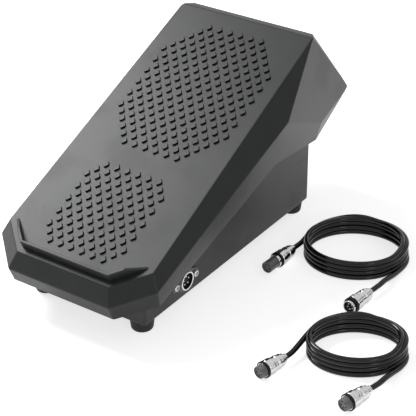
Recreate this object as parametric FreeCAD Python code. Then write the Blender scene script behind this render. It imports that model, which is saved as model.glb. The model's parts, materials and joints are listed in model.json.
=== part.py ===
"""Foot pedal of a welding machine, with its two extension leads.

Millimetres, +Z up. +X is the right side seen from the low (heel) end, +Y runs to the high (toe) end.
The numbers below are measured from the top front edge of the treadle; every piece is moved at the
end so that the middle of the pedal's outline stands over the origin.
"""

import FreeCAD
import Part
import math
import os
from FreeCAD import Placement, Rotation, Vector

# Treadle cover, outer shape
TREAD_SLOPE = 24.6
TOP_FRONT_Z = 52.7
TOP_FRONT_HALF = 43.0
TOP_SIDE_HALF = 67.5
CORNER_DEPTH = 21.2
TOP_REAR_HALF = 63.0
TOP_REAR_Y = 243.0
REAR_BEVEL = 8.7
REAR_BEVEL_DROP = 1.2
REAR_BEVEL_INSET = 5.5
RIDGE_OUT = 6.3
RIDGE_DROP = 13.3
RIDGE_FRONT_HALF = 47.3
RIDGE_SIDE = (73.8, 17.3, 50.0)
RIDGE_FOLD = (76.1, 187.4, 115.8)
TOE = (56.0, 318.2, 90.4)
TOE_FOLD = (66.2, 256.4, 83.7)
RIM_DROP = 26.1
RIM_BACKSET = 0.8
RIM_FRONT_HALF = 47.1
RIM_SIDE = (70.7, 23.6, 33.5)
RIM_FOLD = (67.4, 184.5, 77.6)
RIM_REAR = (60.7, 258.3, 65.2)
COVER_WALL = 2.4
RIM_OVERRUN = 3.0
RIM_GAP = 0.8

# Heel lip on the treadle
LIP_HEIGHT = 7.0
LIP_WALL = 2.4
LIP_INSET = 5.0
LIP_ARM = 29.5
LIP_FULL = 13.0

# Raised studs, in two fields of a staggered grid
STUD_PITCH_X = 5.0
STUD_PITCH_V = 6.4
STUD_SIDE = 4.2
STUD_HEIGHT = 1.3
TOE_FIELD_V = 153.3
TOE_FIELD_COLUMNS = 20
TOE_FIELD_ROWS = (-5, 15)
TOE_FIELD_CUT = 5
HEEL_FIELD_V = 32.0
HEEL_FIELD_COLUMNS = 14
HEEL_FIELD_ROWS = (-2, 10)
HEEL_FIELD_CUT = 2

# Base tray
BASE_HALF = 57.0
BASE_FRONT_Y = 23.5
BASE_REAR_Y = 255.5
BASE_Z = 10.0
BASE_WALL = 2.5
BASE_FLOOR = 3.0
BASE_CORNER = 3.0
BASE_EDGE = 2.0
BASE_FRONT_TOP = 57.0
BASE_REAR_TOP = 104.0

# Feet and their screws
FOOT_INSET = 10.6
FOOT_TOP_R = 9.6
FOOT_BOTTOM_R = 8.4
FOOT_ROUND = 2.6
FOOT_RECESS_R = 4.2
FOOT_RECESS = 3.4
FOOT_BOSS_R = 5.5
FOOT_BOSS = 6.0

# Hinge and travel
HINGE_Y = 46.0
HINGE_Z = 36.0
PRESS_ANGLE = 10.0
PIN_R = 3.0
PIN_OVERHANG = 2.2
PIN_PLAY = 0.05
LUG_WIDTH = 5.0
LUG_PLAY = 0.6
LUG_R = 9.0
BUSH_R = 4.6
BUSH_FLANGE_R = 6.5
BUSH_FLANGE = 0.9
LUG_X = BASE_HALF - BASE_WALL - LUG_PLAY - BUSH_FLANGE - LUG_WIDTH
CLIP_R = 5.4
CLIP_THICK = 0.8
CLIP_GROOVE = 0.6

# Toothed sector, pinion and potentiometer
GEAR_MODULE = 1.25
PINION_TEETH = 12
GEAR_RATIO = 15
PRESSURE_ANGLE = 20.0
BACKLASH = 0.3
SECTOR_ADDENDUM = 0.6
SECTOR_DEDENDUM = 1.2
PINION_ADDENDUM = 0.95
PINION_DEDENDUM = 0.85
MESH_ANGLE = 6.0
SECTOR_WIDTH = 6.0
SECTOR_BAND = 11.0
SECTOR_PAD_FROM = 25.0
SECTOR_PAD_TO = 35.5
SECTOR_RIB = 4.0
PINION_WIDTH = 7.0
HUB_R = 6.0
HUB_LENGTH = 5.5
SPINDLE_R = 3.0
BRACKET_X = 14.0
BRACKET_THICK = 2.0
BRACKET_HALF = 15.5
BRACKET_FOOT = 26.0
POT_R = 12.0
POT_DEPTH = 11.0
POT_NECK_R = 4.4
POT_NUT_AF = 12.0
POT_NUT = 2.0
POT_NECK = 6.5
TAB_WIDTH = 1.6
TAB_LENGTH = 7.0

# Trigger switch
SWITCH_X = -22.0
SWITCH_WIDTH = 6.4
SWITCH_LENGTH = 20.0
SWITCH_FRONT_Y = 27.0
SWITCH_HEIGHT = 10.5
LEVER_WIDTH = 3.0
LEVER_THICK = 0.5
LEVER_ARM = 17.0
LEVER_PIN_R = 0.5
FINGER_ARM = 13.0
FINGER_HALF = 2.0
FINGER_GAP = 0.25
SWITCH_POST = 5.0

# Return springs
SPRING_INSET = 23.0
SPRING_X = BASE_HALF - SPRING_INSET
SPRING_Y = 112.0
SPRING_TOP_Z = 66.0
SPRING_R = 8.0
SPRING_WIRE_R = 1.0
SPRING_TURNS = 6
SPRING_SEAT = 5.0
SPIGOT_R = 5.6
SPIGOT = 7.0
SPRING_WEB = 2.4
RIB_INSET = 3.0

# Rest pad and down-stop bumpers
PAD_INSET = 21.0
PAD_HALF = BASE_HALF - PAD_INSET
PAD_THICK = 2.6
PAD_DEPTH = 6.0
PAD_GAP = 0.1
BUMPER_INSET = 19.0
BUMPER_X = BASE_HALF - BUMPER_INSET
BUMPER_R = 5.0
BUMPER_HEIGHT = 10.0
BUMPER_BLOCK = 13.0
BUMPER_GAP = 0.4

# Panel socket on the right wall
SOCKET_Y = 72.8
SOCKET_Z = 25.8
BARREL_R = 7.6
BARREL_BORE = 6.1
BARREL_PROUD = 2.2
MOUTH_R = 6.5
MOUTH_DEPTH = 2.4
FLANGE_THICK = 2.0
FLANGE_END_R = 4.4
FLANGE_WAIST_R = 9.2
SCREW_SPACING = 25.0
INSERT_RECESS = 8.0
INSERT_BACK = 9.0
CONTACT_R = 0.75
CONTACT_RING = 3.5
CONTACT_LENGTH = 5.2
CONTACTS = 5

# Small screws
SCREW_R = 1.5
SCREW_HEAD_R = 2.8
SCREW_HEAD = 1.8

# Extension leads. For each plug: middle of its rear end, turn from -Y, shell length, how far its
# front stands out, width of its sealing ring, end of the collar, and whether it holds pins
CORD_R = 2.1
COIL_TURNS = 4
COIL_RISE = 4.12
COIL_CLEARANCE = 0.3
COIL_TILT = 34.5
LEAD_1_COIL = (128.3, 212.1)
LEAD_1_HALVES = (40.1, 35.0)
LEAD_2_COIL = (194.8, 96.1)
LEAD_2_HALVES = (35.0, 28.5)
PLUG_Z = 7.6
PLUG_R = 7.4
PLUG_LENGTH = 21.0
PLUG_NECK_R = 3.3
SEAL_R = 7.2
SEAL_SEAT_R = 5.9
COLLAR_R = 6.3
PLUG_INSERT_R = 5.6
PIN_BORE_R = 5.2
PIN_REACH = 4.0
PLUGS = {
    1: ((86.3, 184.3), 3.5, 21.0, 15.5, 1.9, 4.8, False),
    2: ((168.2, 164.1), 6.0, 23.0, 5.5, 3.4, 5.5, True),
    3: ((159.2, 54.9), 12.0, 21.0, 5.6, 1.9, 3.6, False),
    4: ((227.6, 56.2), 13.5, 21.0, 5.6, 1.9, 3.6, False),
}

centre_y = (TOE[1] - RIDGE_OUT) / 2
slope = math.radians(TREAD_SLOPE)
base_top_z = BASE_Z + BASE_FLOOR
hinge = Vector(0, HINGE_Y, HINGE_Z)


def box(x0, x1, y0, y1, z0, z1):
    return Part.makeBox(x1 - x0, y1 - y0, z1 - z0, Vector(x0, y0, z0))


def rod(radius, start, end):
    axis = end - start
    return Part.makeCylinder(radius, axis.Length, start, axis)


def prism_x(points, x0, x1):
    """Solid with a profile of (y, z) points, from x0 to x1."""
    corners = [Vector(x0, y, z) for y, z in points]
    face = Part.Face(Part.makePolygon(corners + corners[:1]))
    return face.extrude(Vector(x1 - x0, 0, 0))


def turned(points, start, axis):
    """Solid of revolution with a profile of (radius, distance along the axis) points."""
    corners = [Vector(r, 0, s) for r, s in points]
    face = Part.Face(Part.makePolygon(corners + corners[:1]))
    solid = face.revolve(Vector(), Vector(0, 0, 1), 360)
    solid.Placement = Placement(start, Rotation(Vector(0, 0, 1), axis))
    return solid


def mirrored(shape):
    return shape.mirror(Vector(), Vector(1, 0, 0))


def save(name, *shapes):
    shape = Part.makeCompound(list(shapes)) if len(shapes) > 1 else shapes[0]
    shape = shape.copy()
    shape.translate(Vector(0, -centre_y, 0))
    shape.exportStep("parts/" + name + ".step")


def top_z(y):
    return TOP_FRONT_Z + y * math.tan(slope)


def underside_z(y, below=COVER_WALL):
    return top_z(y) - below / math.cos(slope)


def pressed_underside_z(y):
    """Height of the treadle's underside at y once the treadle is fully pressed."""
    lean = math.radians(TREAD_SLOPE - PRESS_ANGLE)
    distance = (underside_z(HINGE_Y) - HINGE_Z) * math.cos(slope)
    return HINGE_Z + distance / math.cos(lean) + (y - HINGE_Y) * math.tan(lean)


def tread_frame():
    """Place of the treadle's top: X across, Y up the slope, Z out of the surface."""
    return Placement(Vector(0, 0, TOP_FRONT_Z), Rotation(Vector(1, 0, 0), TREAD_SLOPE))


# Treadle cover

def cover_points():
    """Corners of the right half of the outer shape; the left half mirrors them."""
    p = {}
    p["front"] = Vector(TOP_FRONT_HALF, 0, TOP_FRONT_Z)
    p["side"] = Vector(TOP_SIDE_HALF, CORNER_DEPTH, top_z(CORNER_DEPTH))
    p["rear"] = Vector(TOP_REAR_HALF, TOP_REAR_Y, top_z(TOP_REAR_Y))
    p["bevel"] = p["rear"] + Vector(-REAR_BEVEL_INSET, REAR_BEVEL, -REAR_BEVEL_DROP)
    p["ridge_front"] = Vector(RIDGE_FRONT_HALF, -RIDGE_OUT, TOP_FRONT_Z - RIDGE_DROP)
    p["ridge_side"] = Vector(*RIDGE_SIDE)
    p["ridge_fold"] = Vector(*RIDGE_FOLD)
    p["toe"] = Vector(*TOE)
    p["toe_fold"] = Vector(*TOE_FOLD)
    p["rim_front"] = Vector(RIM_FRONT_HALF, -RIM_BACKSET, TOP_FRONT_Z - RIM_DROP)
    p["rim_side"] = Vector(*RIM_SIDE)
    p["rim_fold"] = Vector(*RIM_FOLD)
    p["rim_rear"] = Vector(*RIM_REAR)
    return p


MIDDLE_FACES = [
    ("front", "side", "rear"),
    ("rear", "bevel"),
    ("bevel", "toe"),
    ("toe", "rim_rear"),
    ("front", "ridge_front"),
    ("ridge_front", "rim_front"),
]
OPEN_FACES = [("rim_front", "rim_side"), ("rim_side", "rim_fold"), ("rim_fold", "rim_rear")]
SIDE_FACES = [
    ("front", "side", "ridge_side", "ridge_front"),
    ("ridge_front", "ridge_side", "rim_side", "rim_front"),
    ("side", "rear", "ridge_fold", "ridge_side"),
    ("ridge_fold", "rim_fold", "rim_side", "ridge_side"),
    ("rear", "toe", "toe_fold", "ridge_fold"),
    ("ridge_fold", "toe_fold", "rim_rear", "rim_fold"),
    ("rear", "bevel", "toe"),
    ("toe", "rim_rear", "toe_fold"),
]


def flip(v):
    return Vector(-v.x, v.y, v.z)


def faceted(points):
    """Closed solid of the cover's outline, with its bottom closed too."""
    loops = []
    for names in MIDDLE_FACES + OPEN_FACES:
        right = [points[n] for n in names]
        loops.append(right + [flip(v) for v in reversed(right)])
    for names in SIDE_FACES:
        right = [points[n] for n in names]
        loops.append(right)
        loops.append([flip(v) for v in right])
    faces = []
    for loop in loops:
        for i in range(1, len(loop) - 1):
            corners = [loop[0], loop[i], loop[i + 1]]
            faces.append(Part.Face(Part.makePolygon(corners + corners[:1])))
    solid = Part.Solid(Part.Shell(faces))
    if solid.Volume < 0:
        solid.reverse()
    return solid.removeSplitter()


def solve3(rows, values):
    """Point nearest to all the planes row . p = value, by least squares."""
    m = FreeCAD.Matrix()
    m.A = [sum(r[i] * r[j] for r in rows) if i < 3 and j < 3 else float(i == j)
           for i in range(4) for j in range(4)]
    right = [sum(r[i] * v for r, v in zip(rows, values)) for i in range(3)]
    return m.inverse().multVec(Vector(*right))


def inset_points(points, wall):
    """The same corners moved in by the wall, and out through the open bottom."""
    middle = Vector(0, TOP_REAR_Y / 2, top_z(TOP_REAR_Y / 2) - 4 * COVER_WALL)
    planes = {n: [] for n in points}
    for names in MIDDLE_FACES + OPEN_FACES + SIDE_FACES:
        corners = [points[n] for n in names]
        if names not in SIDE_FACES:
            corners.append(flip(corners[0]))
        normal = (corners[1] - corners[0]).cross(corners[2] - corners[0]).normalize()
        if normal.dot(corners[0] - middle) < 0:
            normal = -normal
        shift = RIM_OVERRUN if names in OPEN_FACES else -wall
        for n in names:
            planes[n].append((tuple(normal), normal.dot(corners[0]) + shift))
    return {n: solve3([p[0] for p in planes[n]], [p[1] for p in planes[n]]) for n in points}


def lip_bar(corner, direction, length, full, side):
    """One arm of the heel lip on the flat top, full height up to 'full', then ramped down."""
    across = Vector(-direction.y, direction.x, 0) * side
    up = Vector(0, 0, 1)
    sunk = up * -0.5 * COVER_WALL
    profile = [corner + sunk, corner + direction * length + sunk, corner + direction * length,
               corner + direction * full + up * LIP_HEIGHT, corner + up * LIP_HEIGHT]
    face = Part.Face(Part.makePolygon(profile + profile[:1]))
    return face.extrude(across * LIP_WALL)


def heel_lip():
    """Low wall that stops the heel: a front bar and two arms along the cut corners."""
    run = Vector(TOP_SIDE_HALF - TOP_FRONT_HALF, CORNER_DEPTH / math.cos(slope), 0)
    half_turn = math.atan2(run.y, run.x) / 2
    half = TOP_FRONT_HALF - LIP_INSET * math.tan(half_turn)
    inner = half - LIP_WALL * math.tan(half_turn)
    sunk = -0.5 * COVER_WALL
    outline = [Vector(-half, LIP_INSET, sunk), Vector(half, LIP_INSET, sunk),
               Vector(inner, LIP_INSET + LIP_WALL, sunk), Vector(-inner, LIP_INSET + LIP_WALL, sunk)]
    front = Part.Face(Part.makePolygon(outline + outline[:1])).extrude(Vector(0, 0, LIP_HEIGHT - sunk))
    arm = lip_bar(Vector(half, LIP_INSET, 0), run.normalize(), LIP_ARM, LIP_FULL, 1)
    lip = front.fuse([arm, mirrored(arm)])
    lip.Placement = tread_frame()
    return lip


def polar(radius, degrees, x=0):
    a = math.radians(degrees)
    return Vector(x, HINGE_Y + radius * math.cos(a), HINGE_Z + radius * math.sin(a))


def treadle_lug():
    """Hinge lug that hangs from the underside, with a round end about the pin."""
    top = [(HINGE_Y - 12, underside_z(HINGE_Y - 12, 1.0)), (HINGE_Y + 14, underside_z(HINGE_Y + 14, 1.0))]
    web = prism_x([(HINGE_Y - LUG_R, HINGE_Z), (HINGE_Y + LUG_R, HINGE_Z), top[1], top[0]], LUG_X, LUG_X + LUG_WIDTH)
    eye = rod(LUG_R, Vector(LUG_X, HINGE_Y, HINGE_Z), Vector(LUG_X + LUG_WIDTH, HINGE_Y, HINGE_Z))
    bore = rod(BUSH_R, Vector(LUG_X - 1, HINGE_Y, HINGE_Z), Vector(LUG_X + LUG_WIDTH + 1, HINGE_Y, HINGE_Z))
    return web.fuse(eye).cut(bore)


def spring_post():
    """Cross-shaped post with a disc and a spigot that hold a return spring's upper end."""
    top = Vector(SPRING_X, SPRING_Y, underside_z(SPRING_Y, 0.8))
    seat = rod(SPRING_R + 2, Vector(SPRING_X, SPRING_Y, SPRING_TOP_Z), Vector(SPRING_X, SPRING_Y, SPRING_TOP_Z + 3))
    wide = SPRING_R + 2
    plate = SPRING_WEB / 2
    web = box(SPRING_X - plate, SPRING_X + plate, SPRING_Y - wide, SPRING_Y + wide, SPRING_TOP_Z + 1, top.z + wide)
    cross = box(SPRING_X - wide, SPRING_X + wide, SPRING_Y - plate, SPRING_Y + plate, SPRING_TOP_Z + 1, top.z + wide)
    spigot = rod(SPIGOT_R, Vector(SPRING_X, SPRING_Y, SPRING_TOP_Z - SPIGOT), Vector(SPRING_X, SPRING_Y, SPRING_TOP_Z))
    roof = Part.makeBox(60, 60, 40, Vector(-30, -30, -1.0))
    roof.Placement = Placement(Vector(SPRING_X, SPRING_Y, top_z(SPRING_Y)), Rotation(Vector(1, 0, 0), TREAD_SLOPE))
    return seat.fuse([spigot, web, cross]).cut(roof)


def sector_rib():
    """Rib under the treadle that the toothed sector is screwed to."""
    low = polar(PITCH_R - 14, SECTOR_PAD_FROM)
    high = polar(PITCH_R + 4, SECTOR_PAD_FROM)
    y0 = polar(PITCH_R - 14, SECTOR_PAD_TO).y - 4
    y1 = high.y + 4
    return prism_x([(y0, underside_z(y0, 1)), (low.y, low.z), (high.y, high.z), (y1, underside_z(y1, 1))],
                   -SECTOR_WIDTH / 2 - SECTOR_RIB, -SECTOR_WIDTH / 2)


def stiffening_ribs():
    """Shallow ribs on the treadle's underside."""
    ribs = []
    for x in (-24, 24):
        ribs.append((x - 1, x + 1, 70, 255))
    for v in (95, 140, 185, 230):
        ribs.append((RIB_INSET - BASE_HALF, BASE_HALF - RIB_INSET, v, v + 2))
    solids = []
    for x0, x1, v0, v1 in ribs:
        rib = box(x0, x1, v0, v1, -COVER_WALL - 6, -COVER_WALL / 2)
        rib.Placement = tread_frame()
        solids.append(rib)
    return solids


def switch_finger():
    y = HINGE_Y - FINGER_ARM
    z = lever_top_z + FINGER_GAP
    return prism_x([(y - 1.2, z), (y + 1.2, z), (y + 2.5, underside_z(y + 2.5, 1)), (y - 1.2, underside_z(y - 1.2, 1))],
                   SWITCH_X - FINGER_HALF, SWITCH_X + FINGER_HALF)


def make_treadle():
    points = cover_points()
    cavity = faceted(inset_points(points, COVER_WALL))
    cover = faceted(points).cut(cavity).fuse(heel_lip())
    gap = BASE_HALF + RIM_GAP
    cover = cover.cut(box(-gap, gap, SPRING_Y, BASE_REAR_Y + RIM_GAP, 0, RIM_REAR[2] + 3 * COVER_WALL))
    save("treadle_cover", cover.removeSplitter())
    lug = treadle_lug()
    post = spring_post()
    holders = parted([lug, mirrored(lug), post, mirrored(post), sector_rib(), switch_finger()], [cover])
    for angle in SECTOR_SCREWS:
        hole = polar(PITCH_R - SECTOR_BAND / 2, angle)
        bore = rod(SCREW_R, Vector(-20, hole.y, hole.z), Vector(0, hole.y, hole.z))
        holders = [holder.cut(bore) for holder in holders]
    save("treadle_core", *under_cover(holders))
    save("treadle_ribs", *under_cover(parted(stiffening_ribs(), [cover] + holders)))


def parted(shapes, before):
    """Each shape less the ones before it, so that they meet face to face."""
    kept = []
    for shape in shapes:
        for other in before + kept:
            shape = shape.cut(other)
        kept.append(shape)
    return kept


def under_cover(shapes):
    """The solids of the shapes that lie below the cover's upper face."""
    solids = [solid for shape in shapes for solid in shape.removeSplitter().Solids]
    return [solid for solid in solids if solid.CenterOfMass.z < top_z(solid.CenterOfMass.y)]


def stud_field(first_v, columns, rows, cut):
    """Staggered grid of studs inside an eight-sided outline."""
    places = []
    low, high = [round(row) for row in rows]
    for i in range(round(columns) + 1):
        from_side = min(i, round(columns) - i)
        trim = max(0, round(cut) - from_side)
        for j in range(low + trim, high - trim + 1):
            if (i + j) % 2 == 0:
                places.append(((i - round(columns) / 2) * STUD_PITCH_X, first_v + j * STUD_PITCH_V))
    return places


def make_studs():
    """Small rhombic studs whose sides follow the grid's two diagonals."""
    long_half = STUD_SIDE * STUD_PITCH_V / math.hypot(STUD_PITCH_X, STUD_PITCH_V)
    wide_half = STUD_SIDE * STUD_PITCH_X / math.hypot(STUD_PITCH_X, STUD_PITCH_V)
    outline = [Vector(wide_half, 0, 0), Vector(0, long_half, 0), Vector(-wide_half, 0, 0), Vector(0, -long_half, 0)]
    stud = Part.Face(Part.makePolygon(outline + outline[:1])).extrude(Vector(0, 0, STUD_HEIGHT))
    studs = []
    for x, v in (stud_field(TOE_FIELD_V, TOE_FIELD_COLUMNS, TOE_FIELD_ROWS, TOE_FIELD_CUT)
                 + stud_field(HEEL_FIELD_V, HEEL_FIELD_COLUMNS, HEEL_FIELD_ROWS, HEEL_FIELD_CUT)):
        copy = stud.copy()
        copy.Placement = tread_frame().multiply(Placement(Vector(x, v, 0), Rotation()))
        studs.append(copy)
    save("tread_studs", *studs)


# Base tray, feet and stops

def rounded_block(inset, z0, z1):
    block = box(-BASE_HALF + inset, BASE_HALF - inset, BASE_FRONT_Y + inset, BASE_REAR_Y - inset, z0, z1)
    upright = [e for e in block.Edges if abs(e.Vertexes[0].Z - e.Vertexes[1].Z) > 1]
    return block.makeFillet(max(BASE_CORNER - inset, 0.5), upright)


def tray_profile():
    """Side view of the tray: level bottom, upright ends and a rising top."""
    return [(BASE_FRONT_Y - 1, BASE_Z), (BASE_REAR_Y + 1, BASE_Z), (BASE_REAR_Y + 1, BASE_REAR_TOP),
            (BASE_FRONT_Y + PAD_DEPTH + 2, pad_bottom_z(BASE_FRONT_Y + PAD_DEPTH)),
            (BASE_FRONT_Y - 1, pad_bottom_z(BASE_FRONT_Y - 1))]


def pad_bottom_z(y):
    return underside_z(y, COVER_WALL + PAD_GAP + PAD_THICK)


def rest_ledge():
    """Shelf behind the front wall that carries the rest pad."""
    y0 = BASE_FRONT_Y + BASE_WALL / 2
    y1 = BASE_FRONT_Y + PAD_DEPTH
    return prism_x([(y0, BASE_FRONT_TOP - 14), (y1, BASE_FRONT_TOP - 8), (y1, pad_bottom_z(y1)), (y0, pad_bottom_z(y0))],
                   -PAD_HALF, PAD_HALF)


def make_rest_pad():
    """Rubber strip that the treadle rests on when it is let go, parallel to the underside."""
    pad = box(-PAD_HALF, PAD_HALF, BASE_FRONT_Y / math.cos(slope), (BASE_FRONT_Y + PAD_DEPTH) / math.cos(slope), 0, PAD_THICK)
    pad.Placement = tread_frame().multiply(Placement(Vector(0, -1.0, -COVER_WALL - PAD_GAP - PAD_THICK), Rotation()))
    save("rest_pad", pad)


def foot_places():
    x = BASE_HALF - FOOT_INSET
    y0 = BASE_FRONT_Y + FOOT_INSET
    y1 = BASE_REAR_Y - FOOT_INSET
    return {"front_left": (-x, y0), "front_right": (x, y0), "rear_left": (-x, y1), "rear_right": (x, y1)}


def make_feet():
    screws = []
    shank_top = base_top_z + FOOT_BOSS - 1.5
    for name, (x, y) in foot_places().items():
        foot = Part.makeCone(FOOT_BOTTOM_R, FOOT_TOP_R, BASE_Z, Vector(x, y, 0))
        rim = [e for e in foot.Edges if e.BoundBox.ZMax < 0.1]
        foot = foot.makeFillet(FOOT_ROUND, rim)
        foot = foot.cut(rod(FOOT_RECESS_R, Vector(x, y, -1), Vector(x, y, FOOT_RECESS)))
        foot = foot.cut(rod(SCREW_R, Vector(x, y, 0), Vector(x, y, BASE_Z)))
        save("foot_" + name, foot)
        screw = rod(SCREW_R, Vector(x, y, FOOT_RECESS), Vector(x, y, shank_top))
        head = rod(SCREW_HEAD_R, Vector(x, y, FOOT_RECESS - SCREW_HEAD), Vector(x, y, FOOT_RECESS))
        screws.append(screw.fuse(head))
    save("foot_screws", *screws)
    return shank_top


def bumper_top_z():
    return pressed_underside_z(BUMPER_Y - BUMPER_R) - BUMPER_GAP


def make_bumpers():
    for side, x in (("left", -BUMPER_X), ("right", BUMPER_X)):
        bumper = rod(BUMPER_R, Vector(x, BUMPER_Y, bumper_top_z() - BUMPER_HEIGHT), Vector(x, BUMPER_Y, bumper_top_z()))
        rim = [e for e in bumper.Edges if e.BoundBox.ZMin > bumper_top_z() - 0.1]
        save("bumper_" + side, bumper.makeFillet(1.0, rim))


def make_tray():
    outside = rounded_block(0, BASE_Z, BASE_REAR_TOP + 20)
    outside = outside.makeFillet(BASE_EDGE, [e for e in outside.Edges if e.BoundBox.ZMax < BASE_Z + 0.1])
    walls = outside.cut(rounded_block(BASE_WALL, base_top_z, BASE_REAR_TOP + 30))
    tray = walls.common(prism_x(tray_profile(), -BASE_HALF - 1, BASE_HALF + 1))
    solids = [rest_ledge()]
    block_z = bumper_top_z() - BUMPER_HEIGHT
    for x in (-BUMPER_X, BUMPER_X):
        y0 = BUMPER_Y - BUMPER_BLOCK / 2
        y1 = BASE_REAR_Y - BASE_WALL / 2
        block = prism_x([(y0, block_z), (y0, block_z - 4), (y1, block_z - 18), (y1, block_z)], x - 7, x + 7)
        solids.append(block)
        seat = Vector(x / BUMPER_X * SPRING_X, SPRING_Y, base_top_z - 1)
        solids.append(rod(SPRING_R + 2, seat, seat + Vector(0, 0, SPRING_SEAT + 1)))
        solids.append(rod(SPIGOT_R, seat, seat + Vector(0, 0, SPRING_SEAT + 1 + SPIGOT)))
    for x, y in foot_places().values():
        solids.append(rod(FOOT_BOSS_R, Vector(x, y, base_top_z - 1), Vector(x, y, base_top_z + FOOT_BOSS)))
    for y in bracket_screw_ys():
        solids.append(rod(4, Vector(BRACKET_SCREW_X, y, base_top_z - 1), Vector(BRACKET_SCREW_X, y, base_top_z + FOOT_BOSS)))
    post_x = SWITCH_X - SWITCH_WIDTH / 2
    post = box(post_x - SWITCH_POST, post_x, SWITCH_FRONT_Y, SWITCH_FRONT_Y + SWITCH_LENGTH, base_top_z - 1, SWITCH_Z + SWITCH_HEIGHT)
    solids.append(post)
    tray = tray.fuse(solids)
    tray = tray.cut(rod(PIN_R + PIN_PLAY, Vector(-90, HINGE_Y, HINGE_Z), Vector(90, HINGE_Y, HINGE_Z)))
    for x, y in foot_places().values():
        tray = tray.cut(rod(SCREW_R, Vector(x, y, 0), Vector(x, y, foot_screw_top)))
    for y in bracket_screw_ys():
        tray = tray.cut(rod(SCREW_R, Vector(BRACKET_SCREW_X, y, base_top_z), Vector(BRACKET_SCREW_X, y, 40)))
    for y, z in switch_screw_places():
        tray = tray.cut(rod(1.0, Vector(post_x - SWITCH_POST + 1, y, z), Vector(post_x, y, z)))
    tray = tray.cut(rod(BARREL_R + 0.2, Vector(40, SOCKET_Y, SOCKET_Z), Vector(BASE_HALF + 5, SOCKET_Y, SOCKET_Z)))
    for y in socket_screw_ys():
        tray = tray.cut(rod(SCREW_R, Vector(BASE_HALF - 10, y, SOCKET_Z), Vector(BASE_HALF + 5, y, SOCKET_Z)))
    save("base_tray", tray.removeSplitter())


# Hinge

def make_hinge():
    end = BASE_HALF + PIN_OVERHANG
    pin = rod(PIN_R, Vector(-end, HINGE_Y, HINGE_Z), Vector(end, HINGE_Y, HINGE_Z))
    clips = []
    bushes = []
    for side in (-1, 1):
        groove_in = Vector(side * (BASE_HALF + 0.1), HINGE_Y, HINGE_Z)
        groove_out = groove_in + Vector(side * CLIP_THICK, 0, 0)
        groove = rod(PIN_R + 1, groove_in, groove_out).cut(rod(PIN_R - CLIP_GROOVE, groove_in, groove_out))
        pin = pin.cut(groove)
        clip = rod(CLIP_R, groove_in, groove_out).cut(rod(PIN_R - CLIP_GROOVE, groove_in, groove_out))
        slot = box(-90, 90, HINGE_Y - PIN_R + CLIP_GROOVE, HINGE_Y + PIN_R - CLIP_GROOVE, HINGE_Z - 10, HINGE_Z)
        clips.append(clip.cut(slot))
        lug_in = Vector(side * LUG_X, HINGE_Y, HINGE_Z)
        lug_out = Vector(side * (LUG_X + LUG_WIDTH), HINGE_Y, HINGE_Z)
        flange_out = lug_out + Vector(side * BUSH_FLANGE, 0, 0)
        bush = rod(BUSH_R, lug_in, lug_out).fuse(rod(BUSH_FLANGE_R, lug_out, flange_out))
        bushes.append(bush.cut(rod(PIN_R + PIN_PLAY, lug_in, flange_out)))
    save("hinge_pin", pin)
    save("hinge_clips", *clips)
    save("hinge_bushes", *bushes)


def make_springs():
    low = base_top_z + SPRING_SEAT
    length = SPRING_TOP_Z - low - 2 * SPRING_WIRE_R
    for side, x in (("left", -SPRING_X), ("right", SPRING_X)):
        helix = Part.makeHelix(length / SPRING_TURNS, length, SPRING_R)
        wire = Part.Wire(helix)
        section = Part.Wire(Part.makeCircle(SPRING_WIRE_R, Vector(SPRING_R, 0, 0), Vector(0, 1, 0)))
        spring = wire.makePipeShell([section], True, True)
        spring.translate(Vector(x, SPRING_Y, low + SPRING_WIRE_R))
        save("return_spring_" + side, spring)


# Sector, pinion and potentiometer

def involute(angle):
    return math.tan(angle) - angle


def half_tooth(pitch_r, radius):
    """Half the angle that a tooth takes up at a radius, in radians."""
    pressure = math.radians(PRESSURE_ANGLE)
    base_r = pitch_r * math.cos(pressure)
    at_pitch = (math.pi * GEAR_MODULE / 4 - BACKLASH / 4) / pitch_r
    here = math.acos(min(1.0, base_r / max(radius, base_r)))
    return at_pitch + involute(pressure) - involute(here)


def tooth_points(pitch_r, addendum, dedendum, centre_angle):
    """Outline of one tooth as (angle, radius) pairs, root to tip to root."""
    low = pitch_r - dedendum * GEAR_MODULE
    high = pitch_r + addendum * GEAR_MODULE
    steps = 4
    radii = [low + (high - low) * i / steps for i in range(steps + 1)]
    left = [(centre_angle - half_tooth(pitch_r, r), r) for r in radii]
    right = [(centre_angle + half_tooth(pitch_r, r), r) for r in reversed(radii)]
    return left + right


def gear_face(points, centre, x):
    corners = [Vector(x, centre.y + r * math.cos(a), centre.z + r * math.sin(a)) for a, r in points]
    return Part.Face(Part.makePolygon(corners + corners[:1]))


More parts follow.
